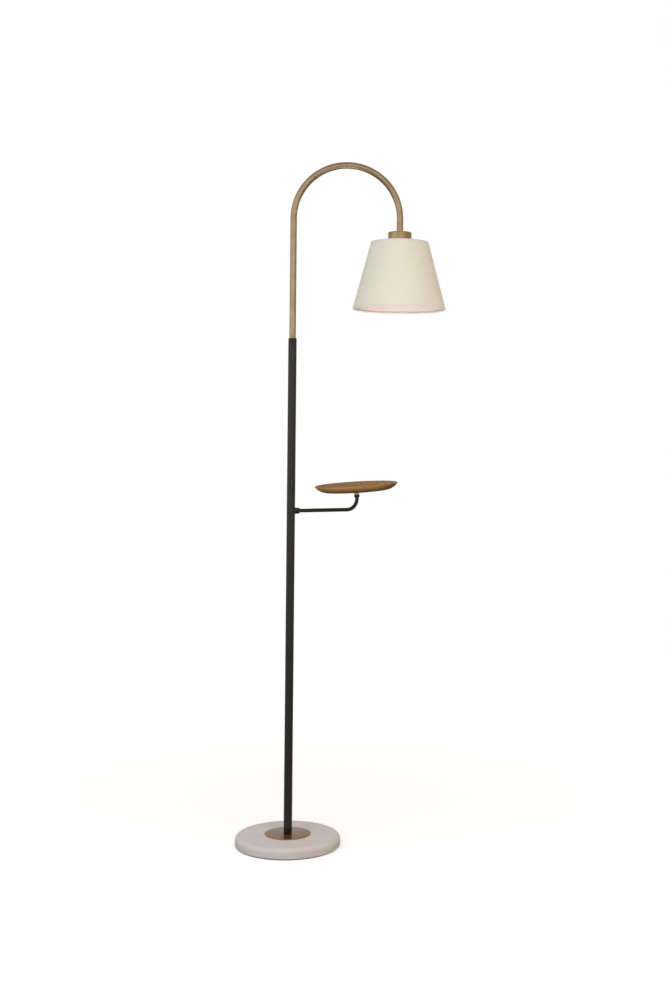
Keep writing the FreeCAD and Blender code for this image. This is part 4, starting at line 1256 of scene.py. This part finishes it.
tc = wn.nodes.new("ShaderNodeTexCoord")
sep = wn.nodes.new("ShaderNodeSeparateXYZ")
wn.links.new(tc.outputs["Generated"], sep.inputs[0])
dx, dy, dz = sep.outputs
front = wmath("MAXIMUM", wmath("MULTIPLY", dy, -1.0), 0.0)
rear = wmath("MAXIMUM", dy, 0.0)
left = wmath("MAXIMUM", wmath("MULTIPLY", dx, -1.0), 0.0)
side_of = wmath("ADD", 1.0, wmath("MULTIPLY", front, WORLD_FRONT))
side_of = wmath("SUBTRACT", side_of, wmath("MULTIPLY", rear, WORLD_REAR))
side_of = wmath("ADD", side_of, wmath("MULTIPLY", left, WORLD_LEFT))
by_height = wn.nodes.new("ShaderNodeValToRGB")
by_height.color_ramp.interpolation = "EASE"
stops = by_height.color_ramp.elements
while len(stops) < len(WORLD_BY_HEIGHT):
    stops.new(0.5)
for e, (h, v) in zip(stops, WORLD_BY_HEIGHT):
    e.position = 0.5 + 0.5 * h
    e.color = (v, v, v, 1.0)
wn.links.new(wmath("ADD", 0.5, wmath("MULTIPLY", dz, 0.5)), by_height.inputs[0])
lum = wmath("MULTIPLY", by_height.outputs[0], side_of)
warm = wn.nodes.new("ShaderNodeMapRange")
warm.inputs[1].default_value, warm.inputs[2].default_value = -0.2, 0.9
wn.links.new(dx, warm.inputs[0])
tint = wn.nodes.new("ShaderNodeMix")
tint.data_type = "RGBA"
tint.inputs[6].default_value = (1.0, 1.0, 1.0, 1.0)
tint.inputs[7].default_value = (1.0, 0.88, 0.72, 1.0)
wn.links.new(warm.outputs[0], tint.inputs[0])
bg = wn.nodes.new("ShaderNodeBackground")
wn.links.new(tint.outputs[2], bg.inputs[0])
wn.links.new(lum, bg.inputs[1])
lp = wn.nodes.new("ShaderNodeLightPath")
white = wn.nodes.new("ShaderNodeBackground")
white.inputs[0].default_value = (1, 1, 1, 1)
white.inputs[1].default_value = 1.0
mx = wn.nodes.new("ShaderNodeMixShader")
wo = wn.nodes.new("ShaderNodeOutputWorld")
wn.links.new(lp.outputs["Is Camera Ray"], mx.inputs[0])
wn.links.new(bg.outputs[0], mx.inputs[1])
wn.links.new(white.outputs[0], mx.inputs[2])
wn.links.new(mx.outputs[0], wo.inputs[0])


def softbox(name, at, aim, size, power, tint=(1, 1, 1)):
    d = bpy.data.lights.new(name, "AREA")
    d.shape = "RECTANGLE"
    d.size, d.size_y = size
    d.energy = power
    d.color = tint
    o = bpy.data.objects.new(name, d)
    scene.collection.objects.link(o)
    o.location = at
    o.rotation_euler = (Vector(aim) - Vector(at)).to_track_quat("-Z", "Y").to_euler()
    o.visible_camera = False
    return o


softbox("key_softbox", (-2.2, -1.7, 1.9), (0.15, 0.0, 1.2), (2.4, 2.2), 11.0)
softbox("fill_softbox", (1.0, -2.9, 1.7), (0.15, 0.0, 1.0), (2.2, 2.0), 13.0, (1.0, 0.955, 0.89))
# a low card that throws light up into the shade
card = softbox("shade_card", (0.28, -0.72, 0.06), (0.28, 0.0, 1.48), (1.4, 1.1), 37.5, (1.0, 0.96, 0.92))
lit = bpy.data.collections.new("lit_by_card")
for ob in bpy.data.objects:
    if ob.name in ("linen_shade", "lower_hem", "upper_hem", "lower_wire", "shade_spider", "shade_ring", "holder_threaded_body",
                   "bulb_envelope", "bulb_screw_cap", "screw_shell"):
        lit.objects.link(ob)
card.light_linking.receiver_collection = lit
# a weaker one for the underside of the arch
neck_card = softbox("neck_card", (0.14, -0.55, 0.04), (0.14, 0.0, 1.7), (1.3, 1.0), 9.0, (1.0, 0.97, 0.92))
lit1 = bpy.data.collections.new("lit_by_neck_card")
for ob in bpy.data.objects:
    if ob.name in ("gooseneck_tube", "spun_cup"):
        lit1.objects.link(ob)
neck_card.light_linking.receiver_collection = lit1
# one over the base
low_card = softbox("base_card", (-0.05, -0.55, 1.10), (0.0, 0.0, 0.03), (0.9, 0.7), 2.45, (0.985, 0.985, 1.0))
lit2 = bpy.data.collections.new("lit_by_base_card")
for ob in bpy.data.objects:
    if ob.name in ("stone_base", "felt_disc", "stage_floor"):
        lit2.objects.link(ob)
low_card.light_linking.receiver_collection = lit2
